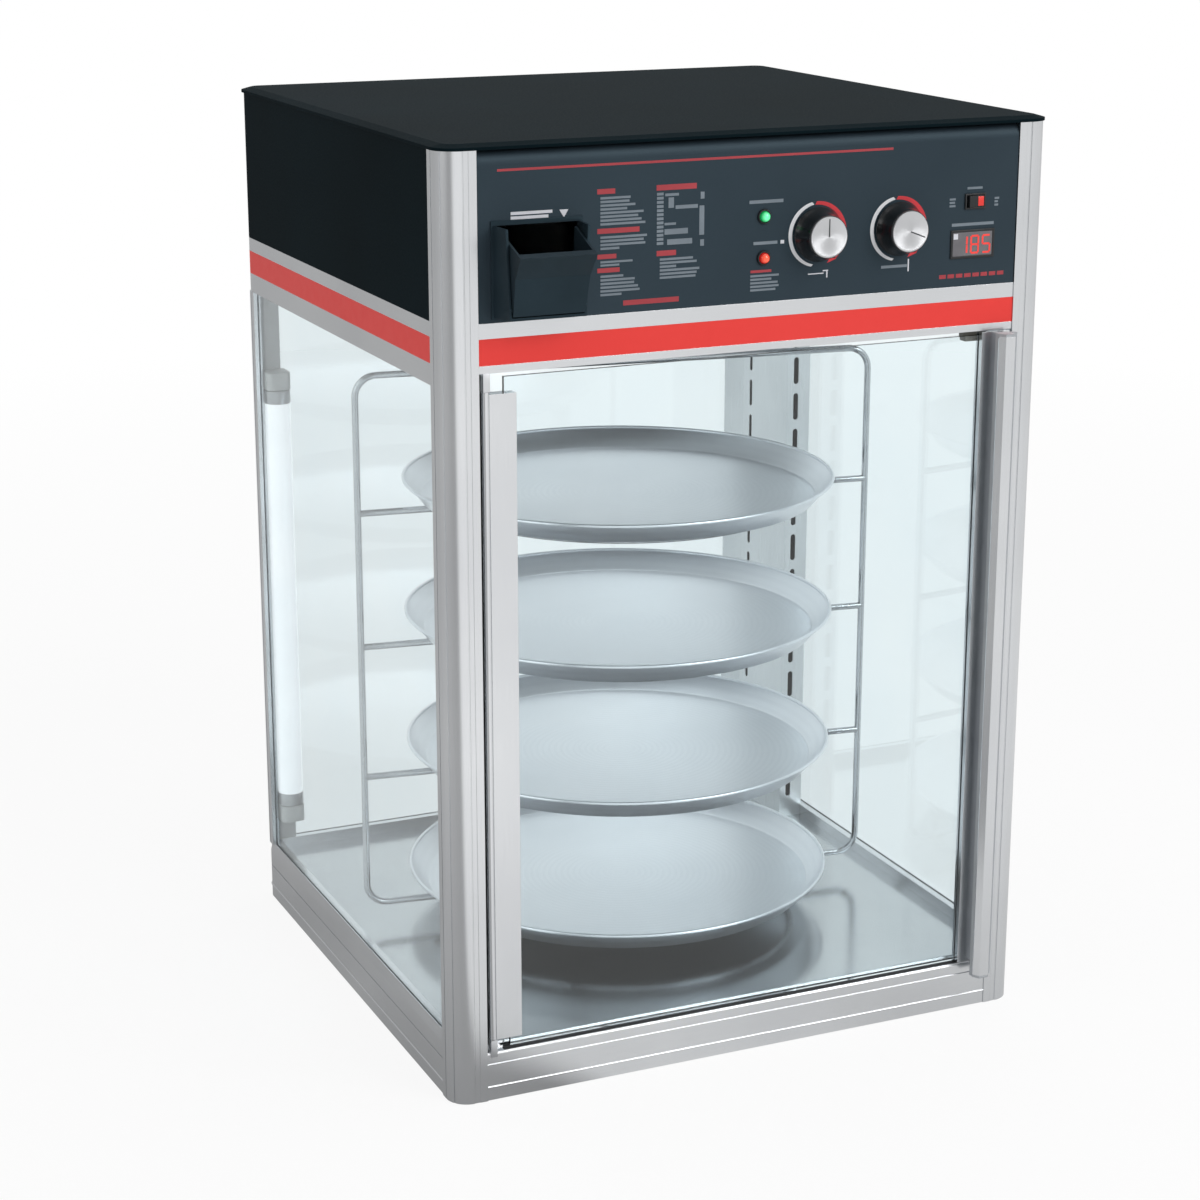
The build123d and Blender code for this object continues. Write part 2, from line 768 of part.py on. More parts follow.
def housing_panels():
    """The black side panels and the rear panel, standing on the upper rails between the posts."""
    housing_height = casing_height - upper_rail_top
    section = Pos(rail_inset + panel_sheet / 2, upper_rail_top + housing_height / 2)
    right_panel = side_run(section * Rectangle(panel_sheet, housing_height))
    add("side_panels", right_panel, mirror(right_panel, about=Plane.YZ))
    skin = y_out - rail_inset
    edge = rear_half - joint_gap
    rear = block(-edge, edge, skin - panel_sheet, skin, upper_rail_top, casing_height)
    for row in range(louvre_count):
        height = louvre_bottom + louvre_pitch * row
        for x in (0.0, louvre_width + louvre_pitch):
            rear -= slot_y(x, skin - panel_sheet, skin, height, louvre_width, louvre_height)
    rear -= drum_y(gland_x, skin - panel_sheet, skin, gland_z, gland_thread_radius + joint_gap)
    screws = []
    for x in (-edge + screw_edge, 0.0, edge - screw_edge):
        for z in (upper_rail_top + screw_edge / 2, casing_height - screw_edge / 2):
            rear -= drum_y(x, skin - panel_sheet, skin, z, screw_shank_radius + joint_gap)
            screw = drum_y(x, skin, skin + screw_head_height, z, screw_head_radius)
            screw += drum_y(x, skin - screw_length, skin, z, screw_shank_radius)
            screws.append(screw)
    add("rear_panel", rear)
    add("panel_screws", *screws)
    gland = drum_y(gland_x, skin, skin + gland_length, gland_z, gland_cap_radius)
    flats = extrude(Plane.XZ * RegularPolygon(gland_radius, 6), amount=gland_nut, dir=(0, 1, 0))
    gland += Pos(gland_x, skin, gland_z) * flats
    thread_end = skin - panel_sheet - gland_thread_length
    gland += drum_y(gland_x, thread_end, skin, gland_z, gland_thread_radius)
    gland -= drum_y(gland_x, thread_end, skin + gland_length, gland_z, gland_bore)
    add("cord_gland", gland)


def control_panel():
    """The front panel, its top edge rolled back under the lid, with every cut-out it needs."""
    edge = face_half - panel_edge_gap
    skin = panel_skin_y
    back = skin + panel_sheet
    roll_y = skin + panel_round
    roll_z = casing_height - panel_round
    profile = Polygon(
        (skin, upper_rail_top), (back, upper_rail_top), (back, roll_z), (skin, roll_z), align=None
    )
    quarter = Pos(roll_y, roll_z) * (Circle(panel_round) - Circle(panel_round - panel_sheet))
    window = Pos(roll_y - panel_round / 2, roll_z + panel_round / 2) * Rectangle(panel_round, panel_round)
    profile += quarter & window
    tail_y = roll_y + panel_round
    tail_place = Pos((roll_y + tail_y) / 2, casing_height - panel_sheet / 2)
    profile += tail_place * Rectangle(panel_round, panel_sheet)
    panel = extrude(Plane.YZ * profile, amount=edge, both=True)
    for x in knob_x:
        panel -= drum_y(x, skin, back, knob_z, knob_shaft_radius + knob_shaft_play)
    for z in indicator_z:
        panel -= drum_y(indicator_x, skin, back, z, indicator_body_radius + joint_gap)
    half_w = switch_width / 2 - switch_frame / 2
    half_h = switch_height / 2 - switch_frame / 2
    panel -= block(switch_x - half_w, switch_x + half_w, skin, back, switch_z - half_h, switch_z + half_h)
    half_w = display_width / 2 - display_body_margin + joint_gap
    half_h = display_height / 2 - display_body_margin + joint_gap
    panel -= block(display_x - half_w, display_x + half_w, skin, back, display_z - half_h, display_z + half_h)
    inner_left, inner_right = pocket_span()
    panel -= block(inner_left, inner_right, skin, back, pocket_floor, pocket_top)
    add("control_panel", panel)


def pocket_span():
    """The clear width of the hopper's pocket."""
    return hopper_left - hopper_side_gap, hopper_right + hopper_side_gap


def fill_pocket():
    """The fixed surround of the hopper, with the throat that leads the water to the tank."""
    left, right = pocket_span()
    front = panel_skin_y - pocket_reach
    skin = panel_skin_y
    flange_front = skin - pocket_flange_thickness
    low = pocket_floor - pocket_wall
    surround = block(left - pocket_wall, right + pocket_wall, front, skin, low, pocket_top)
    surround -= block(left, right, front, skin, pocket_floor, pocket_top)
    flange = block(
        left - pocket_flange,
        right + pocket_flange,
        flange_front,
        skin,
        pocket_floor - pocket_flange,
        pocket_top + pocket_flange,
    )
    flange -= block(left, right, flange_front, skin, pocket_floor, pocket_top)
    back = skin + panel_sheet
    throat_end = skin + throat_length
    lap = skin - throat_lap
    under = pocket_floor + joint_gap
    over = under + pocket_wall
    throat_section = [
        (lap, pocket_floor - pocket_wall / 2),
        (skin, pocket_floor - pocket_wall / 2),
        (skin, under),
        (back, under),
        (throat_end, under - throat_drop),
        (throat_end, over - throat_drop),
        (back, over),
        (lap, over),
    ]
    throat_left = left + hopper_side_gap
    throat_right = right - hopper_side_gap
    throat = prism_x(throat_section, throat_left, throat_right)
    side_start = back + throat_side_start
    side_low = over - throat_drop
    for x in (throat_left, throat_right - pocket_wall):
        throat += block(x, x + pocket_wall, side_start, throat_end, side_low, over + throat_side)
    pin_reach = hopper_side_gap + hopper_wall
    for x0, x1 in ((left - pocket_wall, left + pin_reach), (right - pin_reach, right + pocket_wall)):
        surround += drum_x(x0, x1, hopper_pivot_y, hopper_pivot_z, hopper_pin_radius)
    add("fill_pocket", surround + flange + throat)


def fill_hopper():
    """The tilting scoop: a leaning front wall, two cheeks and a short foot."""
    outline = [
        (hopper_front_foot, hopper_foot),
        (hopper_lip_y, hopper_lip_z),
        (hopper_back_y, hopper_back_z),
        (hopper_back_y, hopper_foot + hopper_back_foot),
        (hopper_pivot_y + hopper_foot_depth, hopper_foot),
    ]
    inside = [
        (hopper_front_foot + hopper_wall, hopper_foot + hopper_wall),
        (hopper_lip_y + hopper_wall, hopper_lip_z + hopper_cut_over),
        (hopper_back_y + hopper_cut_over, hopper_lip_z + hopper_cut_over),
        (hopper_back_y + hopper_cut_over, hopper_foot + hopper_wall),
    ]
    scoop = prism_x(outline, hopper_left, hopper_right)
    scoop -= prism_x(inside, hopper_left + hopper_wall, hopper_right - hopper_wall)
    bore = hopper_pin_radius + running_play
    scoop -= drum_x(hopper_left, hopper_right, hopper_pivot_y, hopper_pivot_z, bore)
    add("fill_hopper", scoop)


def knobs():
    """The two control knobs, each a tapered skirt with a spun metal cap and a pointer line."""
    base_y = panel_skin_y - knob_gap
    face_y = base_y - knob_height
    for name, x, turn in zip(("temperature_knob", "humidity_knob"), knob_x, knob_pointer_turn):
        skirt = Cone(knob_skirt_radius, knob_face_radius, knob_height - knob_cap_thickness)
        skirt = Pos(x, base_y - (knob_height - knob_cap_thickness) / 2, knob_z) * Rot(90, 0, 0) * skirt
        bore_end = face_y + 2 * knob_cap_thickness
        skirt -= drum_y(x, bore_end, base_y, knob_z, knob_shaft_radius + running_play)
        cap = drum_y(x, face_y, face_y + knob_cap_thickness, knob_z, knob_cap_radius)
        half = knob_pointer_width / 2
        tip = knob_cap_radius - knob_pointer_margin
        line = block(-half, half, face_y, face_y + knob_pointer_depth, 0, tip)
        cap -= Pos(x, 0, knob_z) * Rot(0, turn, 0) * line
        add(name, skirt, cap)


def thermostats():
    """The two control bodies behind the knobs, with their fixed stub shafts through the panel."""
    back = panel_skin_y + panel_sheet
    half = thermostat_size / 2
    bodies = []
    for x in knob_x:
        body = block(x - half, x + half, back, back + thermostat_depth, knob_z - half, knob_z + half)
        bore_end = panel_skin_y - knob_gap - knob_height + 2 * knob_cap_thickness
        shaft_end = bore_end + knob_shaft_tip_gap
        body += drum_y(x, shaft_end, back, knob_z, knob_shaft_radius)
        tab_y = back + thermostat_depth
        wide = terminal_width / 2
        thick = terminal_thickness / 2
        for z in (knob_z - terminal_offset, knob_z + terminal_offset):
            body += block(x - wide, x + wide, tab_y, tab_y + terminal_length, z - thick, z + thick)
        bodies.append(body)
    add("thermostat_bodies", *bodies)


def indicators():
    """The two indicator lamps: bezel, dome and the body behind the panel."""
    skin = panel_skin_y
    front = skin - indicator_bezel_height
    for name, z in zip(("indicator_power", "indicator_water"), indicator_z):
        lamp = Pos(indicator_x, front, z) * Sphere(indicator_dome_radius)
        lamp += drum_y(indicator_x, front, skin, z, indicator_bezel_radius)
        lamp += drum_y(indicator_x, skin, skin + indicator_body_length, z, indicator_body_radius)
        add(name, lamp)


def switch_and_display():
    """The light switch with its rocker, and the temperature display."""
    skin = panel_skin_y
    half_w = switch_width / 2
    half_h = switch_height / 2
    lip = skin - switch_lip
    housing = block(switch_x - half_w, switch_x + half_w, lip, skin, switch_z - half_h, switch_z + half_h)
    in_w = half_w - switch_frame / 2 - joint_gap
    in_h = half_h - switch_frame / 2 - joint_gap
    rear = skin + switch_body_depth
    housing += block(switch_x - in_w, switch_x + in_w, skin, rear, switch_z - in_h, switch_z + in_h)
    well_w = half_w - switch_frame
    well_h = half_h - switch_frame
    well_end = skin + switch_well_depth
    well_left = switch_x - well_w
    well_right = switch_x + well_w
    housing -= block(well_left, well_right, lip, well_end, switch_z - well_h, switch_z + well_h)
    pin_low = switch_z - in_h + joint_gap
    pin_high = switch_z + in_h - joint_gap
    housing += drum(switch_x, skin, pin_low, pin_high, rocker_pin_radius)
    add("switch_housing", housing)
    reach = well_w - rocker_end_play
    top = well_h - rocker_play
    wedge = Polygon(
        (-reach, -rocker_rise),
        (0.0, -rocker_dip),
        (reach, -rocker_rise),
        (reach, rocker_thickness - rocker_rise),
        (0.0, rocker_back),
        (-reach, rocker_thickness - rocker_rise),
        align=None,
    )
    rocker = Pos(0, 0, -top) * extrude(wedge, amount=2 * top, dir=(0, 0, 1))
    rocker -= Cylinder(rocker_pin_radius + running_play, 4 * top)
    add("light_rocker", Pos(switch_x, skin, switch_z) * Rot(0, 0, rocker_tilt) * rocker)

    half_w = display_width / 2
    half_h = display_height / 2
    lip = skin - display_lip
    display = block(display_x - half_w, display_x + half_w, lip, skin, display_z - half_h, display_z + half_h)
    in_w = half_w - display_body_margin
    in_h = half_h - display_body_margin
    left = display_x - in_w
    right = display_x + in_w
    display += block(left, right, skin, skin + display_body_depth, display_z - in_h, display_z + in_h)
    display -= block(left, right, lip, lip + display_recess, display_z - in_h, display_z + in_h)
    add("display_module", display)


def door():
    """The hinged glass door: pane, hinge stile with its barrel, handle stile, handle and its dark core."""
    front = -y_out + stile_inset
    back = front + stile_depth
    pane_front = -y_out + door_glass_inset
    pane_back = pane_front + glass_thickness
    right_edge = face_half - door_side_gap
    pane_left = hinge_stile_right - stile_slot_depth
    pane_right = handle_stile_left + stile_slot_depth
    pane_low = sill_top + door_bottom_gap
    pane_high = front_rail_bottom - door_top_gap
    add("door_glass", block(pane_left, pane_right, pane_front, pane_back, pane_low, pane_high))

    slot_front = pane_front - joint_gap
    slot_back = pane_back + joint_gap
    stile = block(hinge_stile_left, hinge_stile_right, front, back, hinge_stile_bottom, hinge_stile_top)
    stile -= block(
        pane_left - joint_gap, hinge_stile_right, slot_front, slot_back, hinge_stile_bottom, hinge_stile_top
    )
    hinge_y = -y_out + hinge_inset
    barrel_low = hinge_stile_bottom
    barrel_high = hinge_stile_top + 2
    stile += drum(hinge_x, hinge_y, barrel_low, barrel_high, hinge_barrel_radius)
    bore = hinge_pin_radius + running_play
    bore_length = hinge_pin_length + 1
    stile -= drum(hinge_x, hinge_y, barrel_low, barrel_low + bore_length, bore)
    stile -= drum(hinge_x, hinge_y, barrel_high - bore_length, barrel_high, bore)
    add("hinge_stile", stile)

    grip = block(handle_stile_left, right_edge, front, back, handle_stile_bottom, handle_stile_top)
    slot_right = pane_right + joint_gap
    grip -= block(handle_stile_left, slot_right, slot_front, slot_back, handle_stile_bottom, handle_stile_top)
    add("handle_stile", grip)

    outer = -y_out - handle_reach
    shell_back = outer + handle_shell_depth
    shell_points = [
        (handle_left, shell_back),
        (handle_left, outer + handle_chamfer_depth),
        (handle_left + handle_chamfer_width, outer),
        (handle_right, outer),
        (handle_right, shell_back),
    ]
    add("door_handle", prism_z(shell_points, handle_bottom, handle_top))
    core_left = handle_left + joint_gap
    core_right = handle_right + handle_core_lap
    core_back = shell_back + handle_core_depth
    core = block(core_left, core_right, shell_back, core_back, handle_bottom, handle_top)
    core += block(handle_web_left, handle_web_right, core_back, front, handle_stile_bottom, handle_top)
    cap_points = [*shell_points, (core_right, shell_back), (core_right, core_back), (handle_left, core_back)]
    core += prism_z(cap_points, handle_top, handle_top + handle_cap_thickness)
    core += prism_z(cap_points, handle_bottom - handle_cap_thickness, handle_bottom)
    add("handle_core", core)


def door_fittings():
    """The fixed pivot blocks with their pins, and the magnet catch under the front rail."""
    hinge_y = -y_out + hinge_inset
    barrel_low = hinge_stile_bottom
    barrel_high = hinge_stile_top + 2
    lower = hinge_block_box(hinge_block_bottom, barrel_low - thrust_gap)
    lower += drum(hinge_x, hinge_y, hinge_block_bottom, barrel_low + hinge_pin_length, hinge_pin_radius)
    upper = hinge_block_box(barrel_high + thrust_gap, front_rail_bottom)
    upper += drum(hinge_x, hinge_y, barrel_high - hinge_pin_length, front_rail_bottom, hinge_pin_radius)
    add("hinge_blocks", lower, upper)
    catch_front = -y_out + stile_inset + stile_depth + thrust_gap
    catch_top = ceiling_underside - ledge_thickness
    catch_back = catch_front + catch_depth
    catch = block(catch_left, catch_right, catch_front, catch_back, catch_top - catch_height, catch_top)
    add("door_catch", catch)


def on_rack(shape):
    """Turn a rack piece to its place at rest, on the rack's axis."""
    return Pos(rack_x, 0, 0) * Rot(0, 0, rack_turn) * shape


def bent_bar(height, tip):
    """An end bar of the rack with both ends turned, towards tip, to meet the uprights."""
    ends = tip * (rack_bend + rack_bend_tail)
    path = FilletPolyline(
        (-rack_radius, 0, height + ends),
        (-rack_radius, 0, height),
        (rack_radius, 0, height),
        (rack_radius, 0, height + ends),
        radius=rack_bend,
    )
    start = Plane(origin=path @ 0, z_dir=path % 0)
    return sweep(start * Circle(rack_rod / 2), path=path)


def half_ring(height):
    """Half of a pan ring, from one side of its crossbar round to the same side at the other end."""
    end_angle = degrees(asin((rack_rod / 2 + ring_end_gap) / (ring_radius - ring_wire / 2)))
    wire = Rot(0, 0, end_angle) * (Plane.XZ * Pos(ring_radius, height) * Circle(ring_wire / 2))
    return revolve(wire, axis=Axis.Z, revolution_arc=180 - 2 * end_angle)


def rack_frame():
    """The welded rack: two uprights, five crossbars and four pan rings."""
    low = rack_bottom + rack_bend + rack_bend_tail
    high = rack_top - rack_bend - rack_bend_tail
    uprights = [drum(side * rack_radius, 0, low, high, rack_rod / 2) for side in (-1, 1)]
    bottom_bar = bent_bar(rack_bottom, 1)
    hub_low = rack_bottom - hub_drop
    hub = drum(0, 0, hub_low, rack_bottom + rack_rod / 2, hub_radius)
    hub -= drum(0, 0, hub_low, hub_low + pivot_pin_length + hub_bore_end, pivot_pin_radius + running_play)
    bottom_bar += hub
    top_bar = bent_bar(rack_top, -1) + drum(0, 0, rack_top, rack_top + stub_length, stub_radius)
    middle_bars = []
    for height in tiers[1:]:
        bar = drum_x(-rack_radius, rack_radius, 0, height, rack_rod / 2)
        for upright in uprights:
            bar -= upright
        middle_bars.append(bar)
    crossbars = [bottom_bar, *middle_bars, top_bar]
    add("rack_frame", *[on_rack(rod) for rod in uprights + crossbars])

    halves = []
    for height in tiers:
        level = height + (rack_rod - ring_wire) / 2 - ring_drop
        halves.extend([half_ring(level), Rot(0, 0, 180) * half_ring(level)])
    add("rack_rings", *[on_rack(half) for half in halves])


def pans():
    """Four round pans, one resting on each ring and its crossbar."""
    rim_low = pan_height - pan_rim_height
    rim_inner = pan_rim_radius - pan_rim_width
    outline = [
        (0, 0),
        (pan_floor_radius, 0),
        (rim_inner + pan_sheet, rim_low),
        (pan_rim_radius, rim_low),
        (pan_rim_radius, pan_height),
        (rim_inner, pan_height),
        (pan_floor_radius - pan_sheet, pan_sheet),
        (0, pan_sheet),
    ]
    pan = revolve(Plane.XZ * Polygon(*outline, align=None), axis=Axis.Z)
    for number, height in enumerate(tiers, start=1):
        seat = height + rack_rod / 2 + pan_rest_gap
        add(f"pan_tier_{number}", Pos(rack_x, 0, seat) * pan)


def rack_drive():
    """The drive shaft and sleeve that turn the rack, and the gear motor above the ceiling."""
    sleeve_low = rack_top + rack_rod / 2 + thrust_gap
    shaft_top = ceiling_top + drive_shaft_engagement
    drive = drum(0, 0, sleeve_low, drive_sleeve_top, drive_sleeve_radius)
    drive += drum(0, 0, drive_sleeve_top, shaft_top, drive_shaft_radius)
    drive -= drum(0, 0, sleeve_low, rack_top + stub_length + stub_bore_end, stub_radius + running_play)
    add("drive_coupling", on_rack(drive))

    half = gearbox_size / 2
    box_top = ceiling_top + gearbox_height
    gearbox = block(rack_x - half, rack_x + half, -half, half, ceiling_top, box_top)
    gearbox = fillet(gearbox.edges().filter_by(Axis.Z), gearbox_round)
    can_x = rack_x + motor_offset
    can_top = box_top + motor_height
    motor = gearbox + drum(can_x, 0, box_top, can_top, motor_radius)
    motor += drum(can_x, 0, can_top, can_top + motor_cap_height, motor_cap_radius)
    motor += drum(rack_x, 0, ceiling_top - motor_nose_drop, ceiling_top, motor_nose_radius)
    ear_half = half + ear_reach
    ear_top = ceiling_top + ear_thickness
    ears = block(rack_x - ear_half, rack_x + ear_half, -ear_width / 2, ear_width / 2, ceiling_top, ear_top)
    for x in (rack_x - half - ear_reach / 2, rack_x + half + ear_reach / 2):
        ears -= drum(x, 0, ceiling_top, ear_top, ear_hole_radius)
    motor += ears
    bore_low = ceiling_top - motor_nose_drop
    motor -= drum(rack_x, 0, bore_low, shaft_top + drive_bore_end, drive_shaft_radius + running_play)
    add("rack_motor", motor)


def lamp():
    """The upright lamp tube in the rear left corner, its two holders and the channel behind it."""
    top = lamp_bottom + lamp_length
    tube = drum(lamp_x, lamp_y, lamp_bottom, top, lamp_radius)
    pins = []
    for dx in (-lamp_pin_spacing / 2, lamp_pin_spacing / 2):
        pins.append(drum(lamp_x + dx, lamp_y, lamp_bottom - lamp_pin_length, lamp_bottom, lamp_pin_radius))
        pins.append(drum(lamp_x + dx, lamp_y, top, top + lamp_pin_length, lamp_pin_radius))
    for pin in pins:
        tube += pin
    add("lamp_tube", tube)

    channel_back = y_out - post_leg - thrust_gap
    channel_front = channel_back - lamp_channel_depth
    holders = []
    for z0, z1 in ((lamp_bottom - lamp_holder_height, lamp_bottom), (top, top + lamp_holder_height)):
        half = lamp_holder_width / 2
        front = channel_front - lamp_holder_depth
        holder = block(lamp_x - half, lamp_x + half, front, channel_front, z0, z1)
        front_edges = holder.edges().filter_by(Axis.Z).group_by(Axis.Y)[0]
        holder = fillet(front_edges, lamp_holder_round)
        for pin in pins:
            holder -= pin
        holders.append(holder)
    add("lamp_holders", *holders)

    channel_low = base_rail_height + thrust_gap
    channel_high = upper_rail_bottom - thrust_gap
    left = lamp_channel_left
    right = lamp_channel_right
    channel = block(left, right, channel_front, channel_back, channel_low, channel_high)
    inner_front = channel_front + duct_sheet
    channel -= block(
        left + duct_sheet, right - duct_sheet, inner_front, channel_back, channel_low, channel_high
    )
    add("lamp_channel", channel)


def air_duct():
    """The slotted air duct in the rear right corner, closed behind by the glass."""
    foot = floor_level + joint_gap
    rail_top = base_rail_height + joint_gap
    rail_reach = x_out - base_rail_depth - joint_gap
    ledge_reach = x_out - post_leg - ledge_width - joint_gap
    front_back = duct_front + duct_sheet
    front = block(duct_left, rail_reach, duct_front, front_back, foot, rail_top)
    front += block(duct_left, duct_reach, duct_front, front_back, rail_top, upper_rail_bottom - joint_gap)
    front += block(duct_left, ledge_reach, duct_front, front_back, rail_top, duct_top)
    side = block(duct_left, duct_left + duct_sheet, duct_front, duct_rear, foot, duct_top)
    rear_y = y_out - base_rail_depth - joint_gap
    wing_points = [
        (duct_left, duct_rear),
        (duct_left + duct_sheet, duct_rear),
        (duct_foot_left + duct_sheet, rear_y),
        (duct_foot_left, rear_y),
    ]
    duct = front + side + prism_z(wing_points, foot, ceiling_underside - ledge_thickness - joint_gap)
    for number in range(duct_slot_count):
        z = duct_slot_start + duct_slot_pitch * number
        duct -= slot_y(duct_front_slot_x, duct_front, front_back, z, duct_slot_width, duct_slot_length)
        duct -= slot_x(
            duct_left, duct_left + duct_sheet, duct_left_slot_y, z, duct_slot_width, duct_slot_length
        )
    add("air_duct", duct)


def water_tank():
    """The humidity tank behind the hopper, its steam standpipe and the heater inside it."""
    tank = block(tank_left, tank_right, tank_front, tank_rear, tank_bottom, tank_top)
    tank -= block(
        tank_left + tank_wall,
        tank_right - tank_wall,
        tank_front + tank_wall,
        tank_rear - tank_wall,
        tank_bottom + tank_wall,
        tank_top,
    )
    half = tank_foot_width / 2
    for x in (tank_left + tank_foot_inset, tank_right - tank_foot_inset):
        tank += block(x - half, x + half, tank_front, tank_rear, ceiling_top, tank_bottom)
    pipe_low = ceiling_underside - standpipe_drop
    pipe_high = tank_top - standpipe_freeboard
    tank += drum(standpipe_x, standpipe_y, pipe_low, pipe_high, standpipe_radius)
    tank -= drum(standpipe_x, standpipe_y, pipe_low, tank_top, standpipe_radius - tank_wall)
    add("water_tank", tank)

    left = standpipe_x - heater_span / 2
    right = standpipe_x + heater_span / 2
    start_y = tank_front + tank_wall
    end_y = start_y + heater_reach
    path = FilletPolyline(
        (left, start_y, heater_height),
        (left, end_y, heater_height),
        (right, end_y, heater_height),
        (right, start_y, heater_height),
        radius=heater_bend,
    )
    start = Plane(origin=path @ 0, z_dir=path % 0)
    element = sweep(start * Circle(heater_rod / 2), path=path)
    foot_y = start_y + heater_reach / 2
    for x in (left, right):
        element += drum_y(x, start_y, start_y + heater_flange_thickness, heater_height, heater_rod)
        element += drum(x, foot_y, tank_bottom + tank_wall, heater_height, heater_leg_radius)
    add("tank_heater", element)


def blower():
    """The circulation blower over the duct: housing with motor, wheel and the air heater in its outlet."""
    low = ceiling_top
    high = low + blower_height
    shell = drum(blower_x, blower_y, low, high, blower_radius)
    outlet = block(blower_x, blower_outlet_end, blower_outlet_front, blower_outlet_rear, low, high)
    inner_low = low + blower_wall
    inner_high = high - blower_wall
    cavity = drum(blower_x, blower_y, inner_low, inner_high, blower_radius - blower_wall)
    outlet_cavity = block(
        blower_x,
        blower_outlet_end - blower_wall,
        blower_outlet_front + blower_wall,
        blower_outlet_rear - blower_wall,
        inner_low,
        inner_high,
    )
    mouth = block(
        duct_left + duct_sheet,
        x_out - post_leg - ledge_width,
        blower_outlet_front + blower_wall,
        blower_outlet_rear - blower_wall,
        low,
        inner_low,
    )
    housing = shell + outlet - cavity - outlet_cavity - mouth
    housing -= drum(blower_x, blower_y, low, inner_low, blower_inlet_radius)
    motor_top = high + blower_motor_height
    housing += drum(blower_x, blower_y, high, motor_top, blower_motor_radius)
    shaft_play = wheel_shaft_radius + running_play
    housing -= drum(blower_x, blower_y, inner_high, motor_top - blower_motor_cover, shaft_play)
    add("blower_housing", housing)

    wheel_low = inner_low + wheel_clearance
    wheel_high = wheel_low + wheel_height
    wheel = drum(0, 0, wheel_high - wheel_plate, wheel_high, wheel_radius)
    band = drum(0, 0, wheel_low, wheel_low + wheel_plate, wheel_radius)
    band -= drum(0, 0, wheel_low, wheel_low + wheel_plate, wheel_radius - wheel_blade_depth)
    wheel += band
    blade = block(
        wheel_radius - wheel_blade_depth,
        wheel_radius - wheel_blade_inset,
        -wheel_blade_thickness / 2,
        wheel_blade_thickness / 2,
        wheel_low,
        wheel_high,
    )
    for number in range(wheel_blades):
        wheel += Rot(0, 0, 360 / wheel_blades * number) * blade
    hub_low = wheel_high - wheel_hub_height
    shaft_end = motor_top - blower_motor_cover - wheel_shaft_end_gap
    wheel += drum(0, 0, hub_low, wheel_high, wheel_hub_radius)
    wheel += drum(0, 0, hub_low, shaft_end, wheel_shaft_radius)
    add("blower_wheel", Pos(blower_x, blower_y, 0) * wheel)

    mid = (low + high) / 2
    rod = air_heater_rod / 2
    end = blower_outlet_end - blower_wall
    start = end - air_heater_length
    front_y = blower_outlet_front + air_heater_inset
    rear_y = blower_outlet_rear - air_heater_inset
    element = drum_y(start, front_y - rod, rear_y + rod, mid, rod)
    for y in (front_y, rear_y):
        element += drum_x(start, end, y, mid, rod)
    fin_low = mid - air_heater_fin_height / 2
    fin_high = mid + air_heater_fin_height / 2
    fin_front = front_y - air_heater_fin_reach
    fin_rear = rear_y + air_heater_fin_reach
    fin_pitch = (air_heater_length - 2 * air_heater_fin_margin) / air_heater_fins
    for number in range(air_heater_fins):
        x = start + air_heater_fin_margin + fin_pitch * number
        element += block(x, x + air_heater_fin, fin_front, fin_rear, fin_low, fin_high)
    add("air_heater", element)


def build():
    posts()
    rails()
    glazing()
    floor_and_base()
    chamber_ceiling()
    top_cover()
    housing_panels()
    control_panel()
    fill_pocket()
    fill_hopper()
    knobs()
    thermostats()
    indicators()
    switch_and_display()
    door()
    door_fittings()
    rack_frame()
    pans()
    rack_drive()
    lamp()
    air_duct()
    water_tank()
    blower()


build()
os.makedirs("parts", exist_ok=True)
for name, shape in nodes.items():
    export_step(shape, f"parts/{name}.step")
print(len(nodes), "nodes")
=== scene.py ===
"""Looks of a counter cabinet that keeps round trays of food hot behind glass.

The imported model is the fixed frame. Each class below is one sub-assembly of the
cabinet: it dresses the model's own pieces with their finishes, and adds or
replaces the pieces whose real shape is finer than the model's.
Sizes are in millimetres and are turned to metres where a mesh is made.
"""

import json
import logging
import math
from abc import ABC, abstractmethod
from collections.abc import Callable, Iterable, Sequence
from dataclasses import dataclass, field
from enum import Enum

import bpy
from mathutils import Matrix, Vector

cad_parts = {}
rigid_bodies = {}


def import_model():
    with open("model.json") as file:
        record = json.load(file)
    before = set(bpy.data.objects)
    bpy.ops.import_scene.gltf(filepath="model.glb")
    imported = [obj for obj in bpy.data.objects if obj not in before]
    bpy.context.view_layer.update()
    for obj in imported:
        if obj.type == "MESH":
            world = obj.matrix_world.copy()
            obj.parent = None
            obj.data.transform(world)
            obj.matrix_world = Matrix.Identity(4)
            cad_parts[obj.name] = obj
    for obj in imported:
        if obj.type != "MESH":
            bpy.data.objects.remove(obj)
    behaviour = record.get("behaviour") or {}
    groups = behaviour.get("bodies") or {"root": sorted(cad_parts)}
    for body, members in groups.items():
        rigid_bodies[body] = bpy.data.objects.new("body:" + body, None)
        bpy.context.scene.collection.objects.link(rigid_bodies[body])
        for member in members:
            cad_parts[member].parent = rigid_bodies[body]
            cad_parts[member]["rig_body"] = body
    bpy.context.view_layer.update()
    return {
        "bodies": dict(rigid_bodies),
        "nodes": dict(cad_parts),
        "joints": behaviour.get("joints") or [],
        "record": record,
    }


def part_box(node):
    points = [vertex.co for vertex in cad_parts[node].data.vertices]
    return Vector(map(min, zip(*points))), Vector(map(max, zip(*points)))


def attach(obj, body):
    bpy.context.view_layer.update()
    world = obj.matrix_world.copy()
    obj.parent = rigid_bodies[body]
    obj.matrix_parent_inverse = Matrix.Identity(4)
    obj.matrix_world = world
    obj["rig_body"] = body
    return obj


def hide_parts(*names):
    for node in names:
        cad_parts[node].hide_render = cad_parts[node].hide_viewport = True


MM = 0.001
